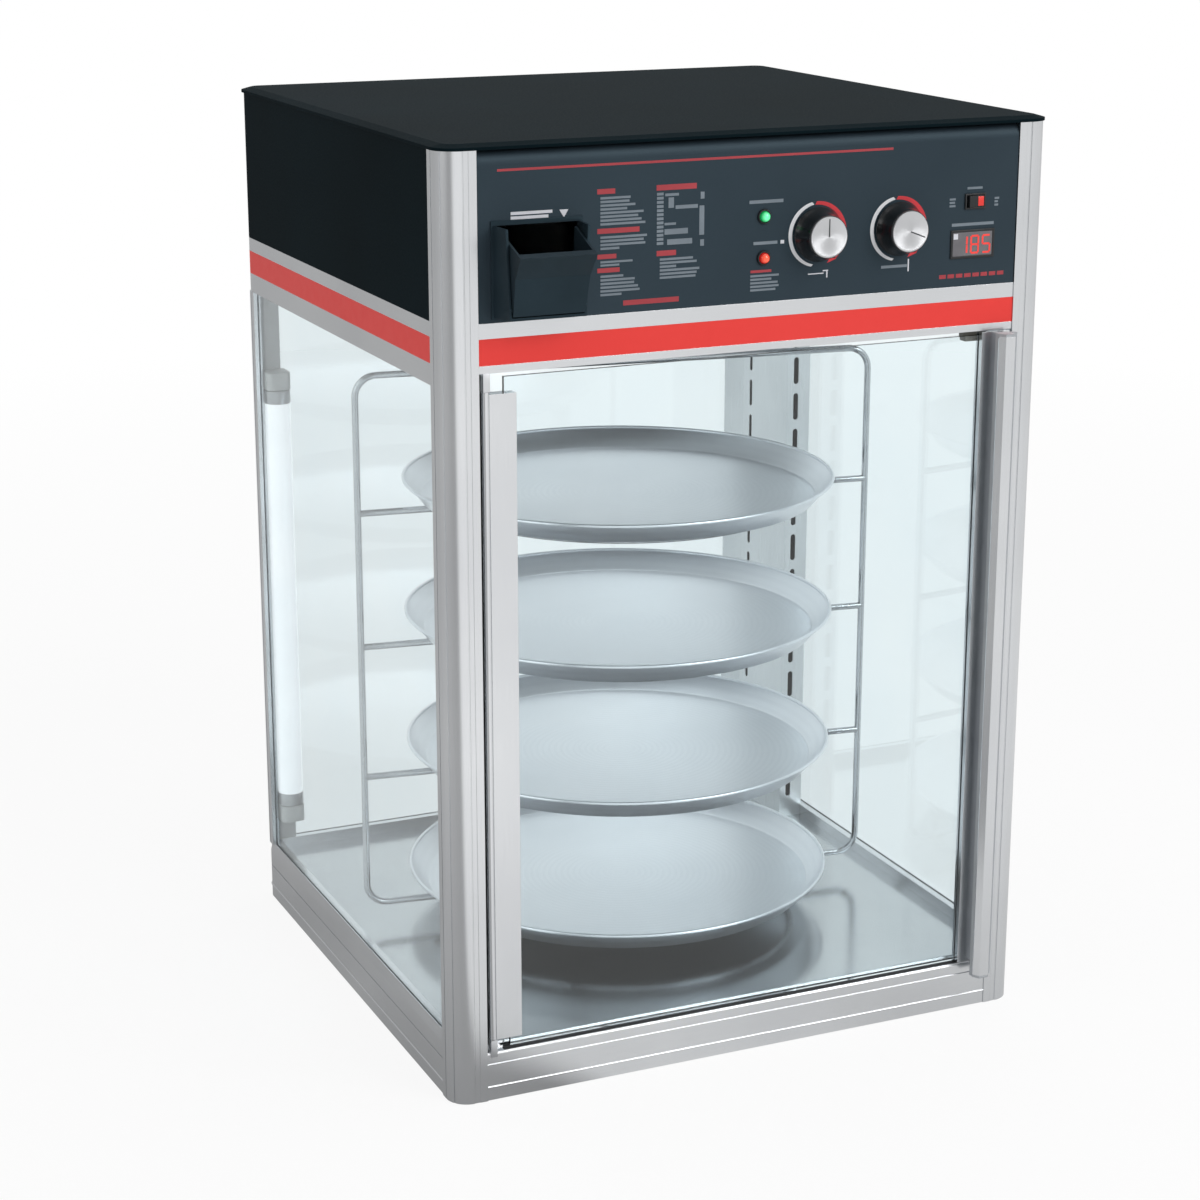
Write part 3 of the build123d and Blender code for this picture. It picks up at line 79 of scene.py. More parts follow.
# Where most values of a noise pattern lie.
NOISE = (0.3, 0.7)
Point = tuple[float, float, float]
Span = tuple[float, float, float, float]
Colour = tuple[float, float, float, float]
Piece = bpy.types.Object
Node = bpy.types.Node
Socket = bpy.types.NodeSocket
Shaping = Callable[[Piece], None]
log = logging.getLogger("cabinet")


# ---------------------------------------------------------------- finishes


def linear(shade: str) -> Colour:
    """Turns an sRGB hex colour to linear light.

    Args:
        shade: Six hex digits, such as "b4b6b8".

    Returns:
        Red, green and blue, all linear, and a full alpha.
    """
    values = []
    for place in (0, 2, 4):
        value = int(shade[place : place + 2], 16) / 255
        values.append(value / 12.92 if value <= 0.04045 else ((value + 0.055) / 1.055) ** 2.4)
    return (values[0], values[1], values[2], 1.0)


class Grain(Enum):
    """How a surface's marks run: the stretch of its pattern along x, y and z."""

    ALONG_X = (0.015, 1.0, 1.0)
    ALONG_Y = (1.0, 0.015, 1.0)
    ALONG_Z = (1.0, 1.0, 0.015)
    EVEN = (1.0, 1.0, 1.0)


class Graph:
    """The node tree of a material or of the world, with short ways to add to it."""

    def __init__(self, owner: bpy.types.ID, output: str = "OutputMaterial") -> None:
        """Empties the owner's tree and gives it an output.

        Args:
            owner: The material or world.
            output: The kind of the output node.
        """
        owner.use_nodes = True
        self.tree = owner.node_tree
        self.tree.nodes.clear()
        self.output = self.add(output)

    def add(self, kind: str, inputs: dict[str | int, object] | None = None, **settings: object) -> Node:
        """Adds a node with its settings, values and links.

        Args:
            kind: The node's type name, without its first word.
            inputs: A value, or an output socket to link, for each named or numbered input.
            **settings: Properties of the node itself.

        Returns:
            The new node.
        """
        node = self.tree.nodes.new(f"ShaderNode{kind}")
        for name, value in settings.items():
            setattr(node, name, value)
        for key, value in (inputs or {}).items():
            if isinstance(value, Socket):
                self.tree.links.new(value, node.inputs[key])
            else:
                node.inputs[key].default_value = value
        return node

    def show(self, shader: Node) -> None:
        """Makes a shader the surface."""
        self.tree.links.new(shader.outputs[0], self.output.inputs["Surface"])

    def place(self) -> Socket:
        """Where on the object a point lies."""
        return self.add("TexCoord").outputs["Object"]

    def centred(self, centre: Point) -> Socket:
        """Where a point lies, measured from a centre in millimetres."""
        inputs = {"Vector": self.place(), "Location": [-part * MM for part in centre]}
        return self.add("Mapping", inputs).outputs[0]

    def noise(self, size_mm: float, detail: float) -> Socket:
        """A slow random pattern whose patches have a size in millimetres."""
        inputs = {"Vector": self.place(), "Scale": 1 / (size_mm * MM), "Detail": detail}
        return self.add("TexNoise", inputs).outputs[0]

    def rings(self, centred: Socket, ring_mm: float, axis: str, distortion: float, detail: float) -> Socket:
        """Turning marks round an axis.

        Args:
            centred: The place, measured from the rings' centre.
            ring_mm: From one mark to the next.
            axis: The axis that they go round.
            distortion: How much they waver.
            detail: How fine the wavering is.

        Returns:
            The marks' output socket.
        """
        turning = math.tau / (20 * ring_mm * MM)
        inputs = {"Vector": centred, "Scale": turning, "Distortion": distortion, "Detail": detail}
        return self.add("TexWave", inputs, wave_type="RINGS", rings_direction=axis).outputs[1]

    def calc(self, operation: str, first: object, second: object) -> Socket:
        """The result of one sum on two values or sockets."""
        return self.add("Math", {0: first, 1: second}, operation=operation).outputs[0]

    def blend(self, factor: object, first: object, second: object) -> Socket:
        """Mixes two colours, each a value or a socket; the factor is the second's share."""
        return self.add("Mix", {0: factor, 6: first, 7: second}, data_type="RGBA").outputs[2]

    def mix(self, factor: object, first: Node, second: Node) -> Node:
        """Mixes two shaders; the factor is the second's share."""
        return self.add("MixShader", {0: factor, 1: first.outputs[0], 2: second.outputs[0]})

    def spread(self, value: object, span: Span) -> Socket:
        """Maps a value from one span to another, held at the ends.

        Args:
            value: The output socket to map.
            span: From low, from high, to low, to high.

        Returns:
            The mapped value's output socket.
        """
        names = ("From Min", "From Max", "To Min", "To Max")
        return self.add("MapRange", {"Value": value, **dict(zip(names, span))}).outputs["Result"]


def new_material(name: str) -> tuple[bpy.types.Material, Graph]:
    """Starts a material and returns it with its empty graph."""
    material = bpy.data.materials.new(name)
    return material, Graph(material)


class Look(ABC):
    """What a surface is made of; each kind builds its own material."""

    @abstractmethod
    def build(self) -> bpy.types.Material:
        """Makes the material.

        Returns:
            The finished material.
        """


@dataclass(frozen=True)
class Finish(Look):
    """A surface with a fine pattern, a slow change of tone, and softened edges."""

    name: str
    base: str
    shade: str
    metallic: float = 0.0
    roughness: tuple[float, float] = (0.4, 0.5)
    grain_mm: float = 1.0
    relief_mm: float = 0.01
    patch_mm: float = 90.0
    edge_mm: float = 0.0
    # The colour that edges are painted towards: partly rubbed wear, partly a painted highlight along
    # rounded edges.
    edge_wear_and_highlight: str = ""
    coat: float = 0.0
    shine: float = 0.5
    glow: float = 0.0
    cast: str = "ffffff"
    rings: Point | None = None
    ior: float = 1.5
    grain: Grain = Grain.EVEN

    def build(self) -> bpy.types.Material:
        """Makes the material."""
        material, graph = new_material(self.name)
        stretch = tuple(share / (self.grain_mm * MM) for share in self.grain.value)
        run = graph.add("Mapping", {"Vector": graph.place(), "Scale": stretch}).outputs[0]
        pattern = {"Vector": run, "Scale": 1.0, "Detail": 4.0, "Roughness": 0.6}
        fine = graph.add("TexNoise", pattern).outputs[0]
        height = fine
        if self.rings:
            height = graph.rings(graph.centred(self.rings), self.grain_mm, "Z", 0.3, 1.0)
        deep = linear(self.shade)
        patches = graph.spread(graph.noise(self.patch_mm, 3.0), (*NOISE, 0.0, 0.75))
        tone = graph.blend(patches, linear(self.base), deep)
        tone = graph.blend(graph.spread(height, (0.35, 0.75, 0.0, 0.35)), tone, deep)
        relief = {"Height": height, "Distance": self.relief_mm * MM, "Strength": 0.6}
        if self.edge_mm:
            rounded = graph.add("Bevel", {"Radius": self.edge_mm * MM}, samples=4).outputs[0]
            relief["Normal"] = rounded
            # Edges are painted paler: partly rubbed wear, partly a painted highlight along the rounded
            # edges.
            if self.edge_wear_and_highlight:
                flat = graph.add("NewGeometry").outputs["True Normal"]
                alike = graph.add("VectorMath", {0: rounded, 1: flat}, operation="DOT_PRODUCT")
                rim = graph.spread(alike.outputs["Value"], (0.80, 0.98, 0.55, 0.0))
                tone = graph.blend(rim, tone, linear(self.edge_wear_and_highlight))
        inputs = {
            "Base Color": tone,
            "Metallic": self.metallic,
            "Roughness": graph.spread(fine, (*NOISE, *self.roughness)),
            "IOR": self.ior,
            "Specular IOR Level": self.shine,
            "Specular Tint": linear(self.cast),
            "Coat Weight": self.coat,
            "Coat Roughness": 0.12,
            "Normal": graph.add("Bump", relief).outputs[0],
            "Emission Strength": self.glow,
        }
        if self.glow:
            inputs["Emission Color"] = tone
        graph.show(graph.add("BsdfPrincipled", inputs))
        return material


@dataclass(frozen=True)
class FloatGlass(Look):
    """Clear tempered pane: faint blue-green cast, wiped film that dulls it in patches."""

    name: str
    tint: str
    film: tuple[float, float] = (0.0, 0.035)
    patch_mm: float = 140.0

    def build(self) -> bpy.types.Material:
        """Makes the material, which lets the lamps' light through."""
        material, graph = new_material(self.name)
        slow = graph.noise(self.patch_mm, 4.0)
        clean = graph.spread(slow, (*NOISE, 0.0, 0.4))
        inputs = {
            "Base Color": graph.blend(clean, linear(self.tint), linear("fafefe")),
            "Transmission Weight": 1.0,
            "Roughness": graph.spread(slow, (0.5, 0.75, *self.film)),
            "IOR": 1.45,
        }
        pane = graph.add("BsdfPrincipled", inputs)
        clear = graph.add("BsdfTransparent", {"Color": linear("f8fdfd")})
        graph.show(graph.mix(graph.add("LightPath").outputs["Is Shadow Ray"], pane, clear))
        return material


@dataclass(frozen=True)
class LitLens(Look):
    """Moulded lens with a lamp behind it: bright at the middle, deep at the rim."""

    name: str
    middle: str
    rim: str
    centre: Point
    reach_mm: float
    glow: float

    def build(self) -> bpy.types.Material:
        """Makes the material."""
        material, graph = new_material(self.name)
        place = graph.place()
        middle = [part * MM for part in self.centre]
        away = graph.add("VectorMath", {0: place, 1: middle}, operation="DISTANCE").outputs["Value"]
        facets = graph.add("TexVoronoi", {"Vector": place, "Scale": 900.0}).outputs[0]
        reach = self.reach_mm * MM
        share = graph.spread(away, (reach * 0.35, reach, 0.0, 1.0))
        tone = graph.blend(share, linear(self.middle), linear(self.rim))
        bump = graph.add("Bump", {"Height": facets, "Distance": 0.0002, "Strength": 0.5})
        inputs = {
            "Base Color": tone,
            "Roughness": graph.spread(facets, (0.0, 0.8, 0.12, 0.28)),
            "Coat Weight": 0.6,
            "Coat Roughness": 0.05,
            "Emission Color": tone,
            "Emission Strength": self.glow,
            "Normal": bump.outputs[0],
        }
        graph.show(graph.add("BsdfPrincipled", inputs))
        return material


@dataclass(frozen=True)
class SpunFace(Look):
    """Turned aluminium face: fine rings that spread the light into wedges."""

    name: str
    base: str
    centre: Point
    ring_mm: float = 0.9

    def build(self) -> bpy.types.Material:
        """Makes the material."""
        material, graph = new_material(self.name)
        centred = graph.centred(self.centre)
        rings = graph.rings(centred, self.ring_mm, "Y", 0.6, 2.0)
        bump = graph.add("Bump", {"Height": rings, "Distance": 0.00002, "Strength": 0.4})
        around = graph.add("VectorMath", {0: centred, 1: (0.0, 1.0, 0.0)}, operation="CROSS_PRODUCT")
        share = graph.spread(rings, (0.0, 1.0, 0.0, 0.3))
        inputs = {
            "Base Color": graph.blend(share, linear(self.base), linear("a4a6a9")),
            "Metallic": 1.0,
            "Roughness": graph.spread(rings, (0.0, 1.0, 0.26, 0.36)),
            "Anisotropic": 0.85,
            "Tangent": around.outputs[0],
            "Normal": bump.outputs[0],
        }
        graph.show(graph.add("BsdfPrincipled", inputs))
        return material


# ---------------------------------------------------------------- workbench


def pick(*pieces: Piece) -> None:
    """Selects these pieces alone and makes the first the active one."""
    bpy.ops.object.select_all(action="DESELECT")
    for piece in pieces:
        piece.select_set(True)
    bpy.context.view_layer.objects.active = pieces[0]


class Editing:
    """Edit mode on one piece for the length of a with block, all of it selected."""

    def __init__(self, piece: Piece, select: str = "SELECT") -> None:
        """Keeps the piece that is to be edited and what is selected at the start."""
        self.piece = piece
        self.select = select

    def __enter__(self) -> None:
        """Enters edit mode."""
        pick(self.piece)
        bpy.ops.object.mode_set(mode="EDIT")
        if self.select:
            bpy.ops.mesh.select_all(action=self.select)

    def __exit__(self, *problem: object) -> None:
        """Leaves edit mode."""
        bpy.ops.object.mode_set(mode="OBJECT")


def apply_modifier(piece: Piece, kind: str, **settings: object) -> Piece:
    """Adds a modifier to a piece and applies it.

    Args:
        piece: The piece.
        kind: The modifier's type name.
        **settings: The modifier's settings.

    Returns:
        The piece.
    """
    pick(piece)
    modifier = piece.modifiers.new(kind.lower(), kind)
    for name, value in settings.items():
        setattr(modifier, name, value)
    bpy.ops.object.modifier_apply(modifier=modifier.name)
    return piece


def bevelled(piece: Piece, width_mm: float, segments: int = 2, **settings: object) -> Piece:
    """Rounds a piece's sharp edges and returns it."""
    return apply_modifier(
        piece, "BEVEL", width=width_mm * MM, segments=segments, limit_method="ANGLE", **settings
    )


def settle(piece: Piece) -> Piece:
    """Puts the piece's place into its mesh, so that its object sits at the origin."""
    pick(piece)
    bpy.ops.object.transform_apply(location=True, rotation=True, scale=True)
    return piece


def fresh(maker: Callable, **settings: object) -> Piece:
    """Makes a piece with one of Blender's own operators and settles it."""
    bpy.ops.object.select_all(action="DESELECT")
    maker(**settings)
    return settle(bpy.context.view_layer.objects.active)


def smooth(piece: Piece, degrees: float = 32.0) -> Piece:
    """Shades a piece smooth up to an angle."""
    pick(piece)
    bpy.ops.object.shade_smooth_by_angle(angle=math.radians(degrees))
    return piece


def joined(pieces: Sequence[Piece]) -> Piece:
    """Joins pieces into the first one and returns it."""
    pick(*pieces)
    if len(pieces) > 1:
        bpy.ops.object.join()
    return bpy.context.view_layer.objects.active


def loose_copy(piece: Piece) -> Piece:
    """A copy of a piece with its own mesh, free of the piece's parent and marks."""
    pick(piece)
    bpy.ops.object.duplicate(linked=False)
    copy = bpy.context.view_layer.objects.active
    copy.parent = None
    for key in list(copy.keys()):
        del copy[key]
    return copy


def copied(piece: Piece, offsets_mm: Iterable[Point]) -> Piece:
    """Repeats a settled piece, each copy with its own mesh.

    Args:
        piece: The piece that is repeated. It is itself kept only as the copies' pattern.
        offsets_mm: Where each copy goes, from the pattern's place.

    Returns:
        All copies joined to one piece.
    """
    copies = []
    for offset in offsets_mm:
        copy = loose_copy(piece)
        copy.location = Vector(offset) * MM
        copies.append(settle(copy))
    bpy.data.objects.remove(piece, do_unlink=True)
    return joined(copies)


def draw_out(way: Point) -> None:
    """Extrudes what is selected in edit mode, by a way in millimetres."""
    bpy.ops.mesh.extrude_region_move(TRANSFORM_OT_translate={"value": tuple(Vector(way) * MM)})


def face_outwards() -> None:
    """Selects the whole mesh in edit mode and turns its faces outwards."""
    bpy.ops.mesh.select_all(action="SELECT")
    bpy.ops.mesh.normals_make_consistent(inside=False)


def raised(piece: Piece, way: Point) -> Piece:
    """Draws a flat piece out to a solid whose faces point outwards.

    Args:
        piece: The flat piece.
        way: Where to and how far, in millimetres.

    Returns:
        The piece.
    """
    with Editing(piece):
        draw_out(way)
        face_outwards()
    return piece


class Facing(Enum):
    """The way in which a turned piece's axis points, as a turn from +Z."""

    UP = (0.0, 0.0, 0.0)
    FRONT = (90.0, 0.0, 0.0)
    REAR = (-90.0, 0.0, 0.0)


def turned(profile: Sequence[tuple[float, float]], facing: Facing, centre: Point, steps: int) -> Piece:
    """A piece as it comes off a lathe: a disc that is drawn out along a profile.

    Args:
        profile: Radius and height in millimetres of each ring, from the first closed end to the last.
        facing: The way in which the height runs.
        centre: Where height 0 of the axis lies.
        steps: How many faces go round.

    Returns:
        The settled piece, its faces pointing outwards.
    """
    radius, height = profile[0]
    disc = {"vertices": steps, "radius": radius * MM, "fill_type": "NGON", "location": (0, 0, height * MM)}
    piece = fresh(bpy.ops.mesh.primitive_circle_add, **disc)
    with Editing(piece):
        for next_radius, next_height in profile[1:]:
            draw_out((0, 0, next_height - height))
            ratio = next_radius / radius
            bpy.ops.transform.resize(value=(ratio, ratio, 1), center_override=(0, 0, next_height * MM))
            radius, height = next_radius, next_height
        face_outwards()
    piece.rotation_euler = [math.radians(turn) for turn in facing.value]
    piece.location = Vector(centre) * MM
    return settle(piece)


def rounded_copy(node: Piece, width_mm: float, shape: Shaping | None, soft: float) -> Piece:
    """A copy of a model piece with its edges rounded.

    Args:
        node: The model's own piece, which stays as it is.
        width_mm: How far the rounding reaches from each edge.
        shape: Changes the copy before its edges are rounded.
        soft: The angle in degrees up to which the copy is shaded smooth.

    Returns:
        The copy, riding on nothing yet.
    """
    copy = loose_copy(node)
    if copy.data.has_custom_normals:
        bpy.ops.mesh.customdata_custom_splitnormals_clear()
    with Editing(copy):
        bpy.ops.mesh.remove_doubles(threshold=0.00001)
        bpy.ops.mesh.dissolve_limited(angle_limit=math.radians(1.0))
    if shape:
        shape(copy)
    bevelled(copy, width_mm, angle_limit=math.radians(28.0), use_clamp_overlap=True)
    return smooth(copy, soft)


@dataclass(frozen=True)
class Bar:
    """A flat printed bar on the front panel: left, right, top and bottom in millimetres."""

    left: float
    right: float
    top: float
    bottom: float


def text_rows(left: float, top: float, pitch: float, height: float, widths: Sequence[float]) -> list[Bar]:
    """Plain bars in place of rows of wording.

    Args:
        left: Where the rows start.
        top: The top of the first row.
        pitch: From one row to the next.
        height: How tall a row is.
        widths: How long each row is.

    Returns:
        The bars.
    """
    tops = [top - pitch * number for number in range(len(widths))]
    return [Bar(left, left + width, high, high - height) for high, width in zip(tops, widths)]


def printed(bars: Sequence[Bar], surface_y: float, ink_mm: float) -> Piece:
    """A layer of ink: flat bars that stand a little proud of the surface they are printed on.

    Args:
        bars: The bars.
        surface_y: The y of the printed surface, which faces the front.
        ink_mm: How thick the ink is drawn.

    Returns:
        The settled piece.
    """
    piece = fresh(bpy.ops.mesh.primitive_plane_add, size=MM)
    with Editing(piece):
        bpy.ops.mesh.delete(type="VERT")
        for bar in bars:
            middle = Vector(((bar.left + bar.right) / 2, surface_y, (bar.top + bar.bottom) / 2)) * MM
            bpy.ops.mesh.primitive_plane_add(size=MM, location=middle, rotation=(math.pi / 2, 0, 0))
            size = (bar.right - bar.left, 1.0, bar.top - bar.bottom)
            bpy.ops.transform.resize(value=size, center_override=middle)
    return raised(piece, (0, -ink_mm, 0))


def ink_patch(points: Sequence[tuple[float, float]], surface_y: float, ink_mm: float) -> Piece:
    """A printed patch of any outline on a surface that faces the front.

    Args:
        points: The outline's corners in order, as x and z in millimetres.
        surface_y: The y of the printed surface.
        ink_mm: How thick the ink is drawn.

    Returns:
        The settled piece.
    """
    patch = fresh(bpy.ops.mesh.primitive_circle_add, vertices=len(points), radius=MM, fill_type="NGON")
    for corner, (x, z) in zip(patch.data.vertices, points):
        corner.co = Vector((x, surface_y, z)) * MM
    return raised(patch, (0, -ink_mm, 0))


# ---------------------------------------------------------------- sub-assemblies


@dataclass
class Cabinet:
    """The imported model, the finishes made so far, and the pieces added to it."""

    frame: dict
    made: dict[str, bpy.types.Material] = field(default_factory=dict)

    def material(self, finish: Look) -> bpy.types.Material:
        """The material of a finish, made once.

        Args:
            finish: What the surface is made of.

        Returns:
            The material.
        """
        if finish.name not in self.made:
            self.made[finish.name] = finish.build()
        return self.made[finish.name]

    def dress(self, finish: Look, *nodes: str) -> None:
        """Gives a finish to pieces of the model.

        Args:
            finish: The finish.
            *nodes: The pieces' names.
        """
        for name in nodes:
            node = self.frame["nodes"][name]
            if not node.material_slots:
                node.data.materials.append(self.material(finish))
            for place in node.material_slots:
                place.material = self.material(finish)
            log.info("dressed %s with %s", name, finish.name)

    def place(
        self,
        piece: Piece,
        name: str,
        finish: Look,
        body: str,
        slot: str,
        replaces: Sequence[str] = (),
    ) -> None:
        """Names a new piece, dresses it and lets it ride on its body.

        Args:
            piece: The settled piece.
            name: Its name.
            finish: Its finish.
            body: The body that carries it.
            slot: The material slot; not used.
            replaces: The model's pieces that it stands for.
        """
        piece.name = name
        piece.data.name = name
        piece.data.materials.clear()
        piece.data.materials.append(self.material(finish))
        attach(piece, body)
        if replaces:
            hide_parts(*replaces)
        log.info("placed %s on %s", name, body)

    def rounded(
        self,
        node: str,
        width_mm: float,
        finish: Look,
        slot: str,
        shape: Shaping | None = None,
        soft: float = 40.0,
    ) -> None:
        """Stands a copy with rounded edges in the place of a piece of the model.

        Args:
            node: The piece's name.
            width_mm: How far the rounding reaches.
            finish: The copy's finish.
            slot: The material slot.
            shape: Changes the copy before its edges are rounded.
            soft: The angle in degrees up to which the copy is shaded smooth.
        """
        original = self.frame["nodes"][node]
        copy = rounded_copy(original, width_mm, shape, soft)
        self.place(copy, f"{node}_moulded", finish, original["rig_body"], slot, (node,))


class Part(ABC):
    """A sub-assembly that adds its own looks to the cabinet."""

    @abstractmethod
    def build(self, cabinet: Cabinet) -> None:
        """Dresses the model's pieces and adds the finer ones.

        Args:
            cabinet: The cabinet that owns the pieces.
        """


@dataclass
class FrameAndGlass(Part):
    """Aluminium posts and rails, the red bands in them, the sheet floor and the panes."""

    # Satin anodised aluminium: pale, even, with a fine draw grain along each extrusion.
    tone: str = "e6e8ea"
    deep: str = "dadcdf"
    # Pressed-in strip of red PVC: smooth and rather glossy.
    red: Finish = Finish(
        "red_pvc_strip", "f24a46", "ec443f", 0.0, (0.30, 0.36), 9.0, 0.001, 300.0, 0.3, "", 0.0, 0.25,
        ior=1.35,
    )
    # Polished stainless sheet with a light brushed line from side to side.
    floor: Finish = Finish(
        "polished_stainless_floor", "d2d5d7", "c0c4c7", 1.0, (0.12, 0.22), 0.8, 0.004, 160.0,
        grain=Grain.ALONG_X,
    )
    wall: Finish = Finish(
        "brushed_stainless_wall", "d6d9db", "c3c7ca", 1.0, (0.26, 0.38), 0.7, 0.006, 130.0, 0.3,
        grain=Grain.ALONG_Z,
    )
    underside: Finish = Finish(
        "galvanised_base", "9fa3a5", "83888b", 1.0, (0.4, 0.6), 14.0, 0.01, 60.0
    )
    # Sheet that closes the duct behind its slots; its dark grey tone is painted shade, so that the slots
    # look dark.
    liner: Finish = Finish(
        "dulled_duct_liner", "6d7276", "5a5f63", 1.0, (0.42, 0.56), 0.9, 0.01, 90.0, grain=Grain.ALONG_Z
    )
    # Dark strips for the door's seals; on the sill the dark tone is partly seal and partly painted shade of
    # the gap under the door glass.
    seal_and_gap_shade: Finish = Finish("silicone_sill_seal", "2e3032", "26282a", 0.0, (0.5, 0.62), 0.7, 0.01, 30.0)
    pane: FloatGlass = FloatGlass("tempered_pane", "f2f9fb")

    # Each seal's bar, its rear face and its thickness: along the sill, then along the hinge side. The
    # sill's strip is partly seal and partly painted shade of the gap under the door glass.
    seals: tuple[tuple[Bar, float, float], ...] = (
        (Bar(-236.0, 223.0, 46.8, 45.0), -264.5, 5.0),
        (Bar(-254.3, -247.0, 648.0, 48.0), -260.2, 1.2),
    )
    # The duct's closing sheets and their outer faces: the rear one, then the side one before its
    # quarter turn.
    duct_sheets: tuple[tuple[Bar, float], ...] = (
        (Bar(240.0, 271.4, 643.0, 60.3), 258.0),
        (Bar(-258.0, -133.5, 643.0, 60.3), 272.4),
    )
    duct_sheet_mm: float = 0.8

    def satin(self, grain: Grain) -> Finish:
        """Anodised aluminium whose grain runs one way."""
        # The paler f0f1f2 at the edges is a painted highlight along the rounded edges.
        return Finish(
            f"satin_anodised_{grain.name.lower()}", self.tone, self.deep, 1.0, (0.21, 0.27), 0.6, 0.0022,
            140.0, 0.35, "f0f1f2", grain=grain,
        )

    def build(self, cabinet: Cabinet) -> None:
        """Dresses the frame, floor and glass, and adds the seals, whose sill strip is partly painted shade,
        and the duct's sheets.
        """
        for corner in ("front_left", "front_right", "rear_left", "rear_right"):
            cabinet.dress(self.satin(Grain.ALONG_Z), f"post_{corner}")
        for side in ("front", "rear", "left", "right"):
            grain = Grain.ALONG_X if side in ("front", "rear") else Grain.ALONG_Y
            cabinet.dress(self.satin(grain), f"base_rail_{side}", f"upper_rail_{side}")
        cabinet.dress(self.red, "trim_bands")
        cabinet.dress(self.floor, "floor_pan", "chamber_ceiling")
        cabinet.dress(self.wall, "air_duct")
        cabinet.dress(self.underside, "base_plate")
        cabinet.dress(self.pane, "glass_left", "glass_right", "glass_rear", "door_glass")
        seal = bevelled(joined([printed([bar], rear, thick) for bar, rear, thick in self.seals]), 0.3)
        cabinet.place(smooth(seal), "door_seals", self.seal_and_gap_shade, "casing", "black_plastic")
        rear, side = [printed([bar], outer, self.duct_sheet_mm) for bar, outer in self.duct_sheets]
        side.rotation_euler = (0, 0, -math.pi / 2)
        sheets = joined([rear, settle(side)])
        cabinet.place(sheets, "duct_outer_sheet", self.liner, "casing", "stainless_sheet")


@dataclass
class Housing(Part):
    """The black sheet housing on top, its louvres, screws and cord gland."""

    # Baked enamel on steel: near black with a cold cast, a faint orange peel and a soft shine.
    enamel: Finish = Finish(
        "black_baked_enamel", "0f1c21", "0b161a", 0.0, (0.50, 0.60), 1.6, 0.008, 150.0, 0.5, "2c373d",
        0.0, 0.3, cast="9fd0e0", ior=1.1,
    )
    # Printed polycarbonate film over the front panel: slate black, satin, a shade lighter than the enamel.
    overlay: Finish = Finish(
        "satin_panel_overlay", "303b43", "273139", 0.0, (0.40, 0.50), 0.8, 0.008, 170.0, 0.4, "4a5860",
        0.0, 0.35, cast="b4d2e0",
    )
    # Zinc-plated screws, slightly yellowed.
    zinc: Finish = Finish("zinc_plated_screw", "b9b8ae", "96958c", 1.0, (0.28, 0.42), 0.8, 0.01, 20.0)
    nylon: Finish = Finish("black_nylon_gland", "17181a", "222427", 0.0, (0.45, 0.6), 0.5, 0.02, 25.0)
    louvre_count: int = 8
    louvre_pitch: float = 12.0
    louvre_width: float = 120.0
    louvre_first: float = 716.0
    columns: tuple[float, float] = (0.0, 132.0)
    hood_depth: float = 3.2
    hood_height: float = 5.5
    head_radius: float = 4.0

    def louvre_hoods(self, rear_y: float) -> Piece:
        """Pressed hoods over the rear slots, open at their lower side.

        Args:
            rear_y: The rear panel's outer face.

        Returns:
            The settled piece with every hood.
        """
        hood = fresh(bpy.ops.mesh.primitive_plane_add, size=MM, rotation=(-math.pi / 2, 0, 0))
        length = self.louvre_width + 4.0
        high = self.hood_height
        with Editing(hood):
            bpy.ops.transform.resize(value=(length, 1, high), center_override=(0, 0, 0))
            draw_out((0, self.hood_depth, -high * 0.25))
            bpy.ops.transform.resize(value=(0.97, 1, 0.42), center_override=(0, 0, -high * 0.5 * MM))
            face_outwards()
        smooth(bevelled(hood, 1.1, 3), 50.0)
        first = self.louvre_first + high * 0.62
        rows = [first + self.louvre_pitch * number for number in range(self.louvre_count)]
        offsets = [(x, rear_y, z) for x in self.columns for z in rows]
        return copied(hood, offsets)

    def screws(self, low: Vector, high: Vector) -> Piece:
        """Pan-head screws with a cross recess, where the model has its plain ones.

        Args:
            low: Lowest corner of the model's screws, in metres.
            high: Highest corner of them.

        Returns:
            The settled piece with every screw.
        """
        top = 2.0
        radius = self.head_radius
        head = turned(
            [(radius, 0.0), (radius, 0.7), (radius * 0.9, 1.5), (radius * 0.62, top), (radius * 0.3, top)],
            Facing.REAR,
            (0, 0, 0),
            32,
        )
        for across, upright in ((0.9, 4.0), (4.0, 0.9)):
            block = {"size": MM, "location": (0, top * MM, 0), "scale": (across, 1.6, upright)}
            cutter = fresh(bpy.ops.mesh.primitive_cube_add, **block)
            apply_modifier(head, "BOOLEAN", object=cutter, operation="DIFFERENCE", solver="EXACT")
            bpy.data.objects.remove(cutter, do_unlink=True)
        smooth(head)
        inset = radius * MM
        columns = (low.x + inset, 0.0, high.x - inset)
        rows = (low.z + inset, high.z - inset)
        rear = high.y - top * MM
        offsets = [(x / MM, rear / MM, z / MM) for x in columns for z in rows]
        return copied(head, offsets)

    def build(self, cabinet: Cabinet) -> None:
        """Dresses the housing and adds its rear details."""
        cabinet.dress(self.enamel, "top_cover", "side_panels", "rear_panel")
        cabinet.dress(self.overlay, "control_panel")
        rear_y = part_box("rear_panel")[1].y / MM
        cabinet.place(self.louvre_hoods(rear_y), "louvre_hoods", self.enamel, "casing", "black_housing")
        screws = self.screws(*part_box("panel_screws"))
        cabinet.place(screws, "rear_screws", self.zinc, "casing", "turned_steel", ("panel_screws",))
        cabinet.rounded("cord_gland", 0.6, self.nylon, "black_plastic")


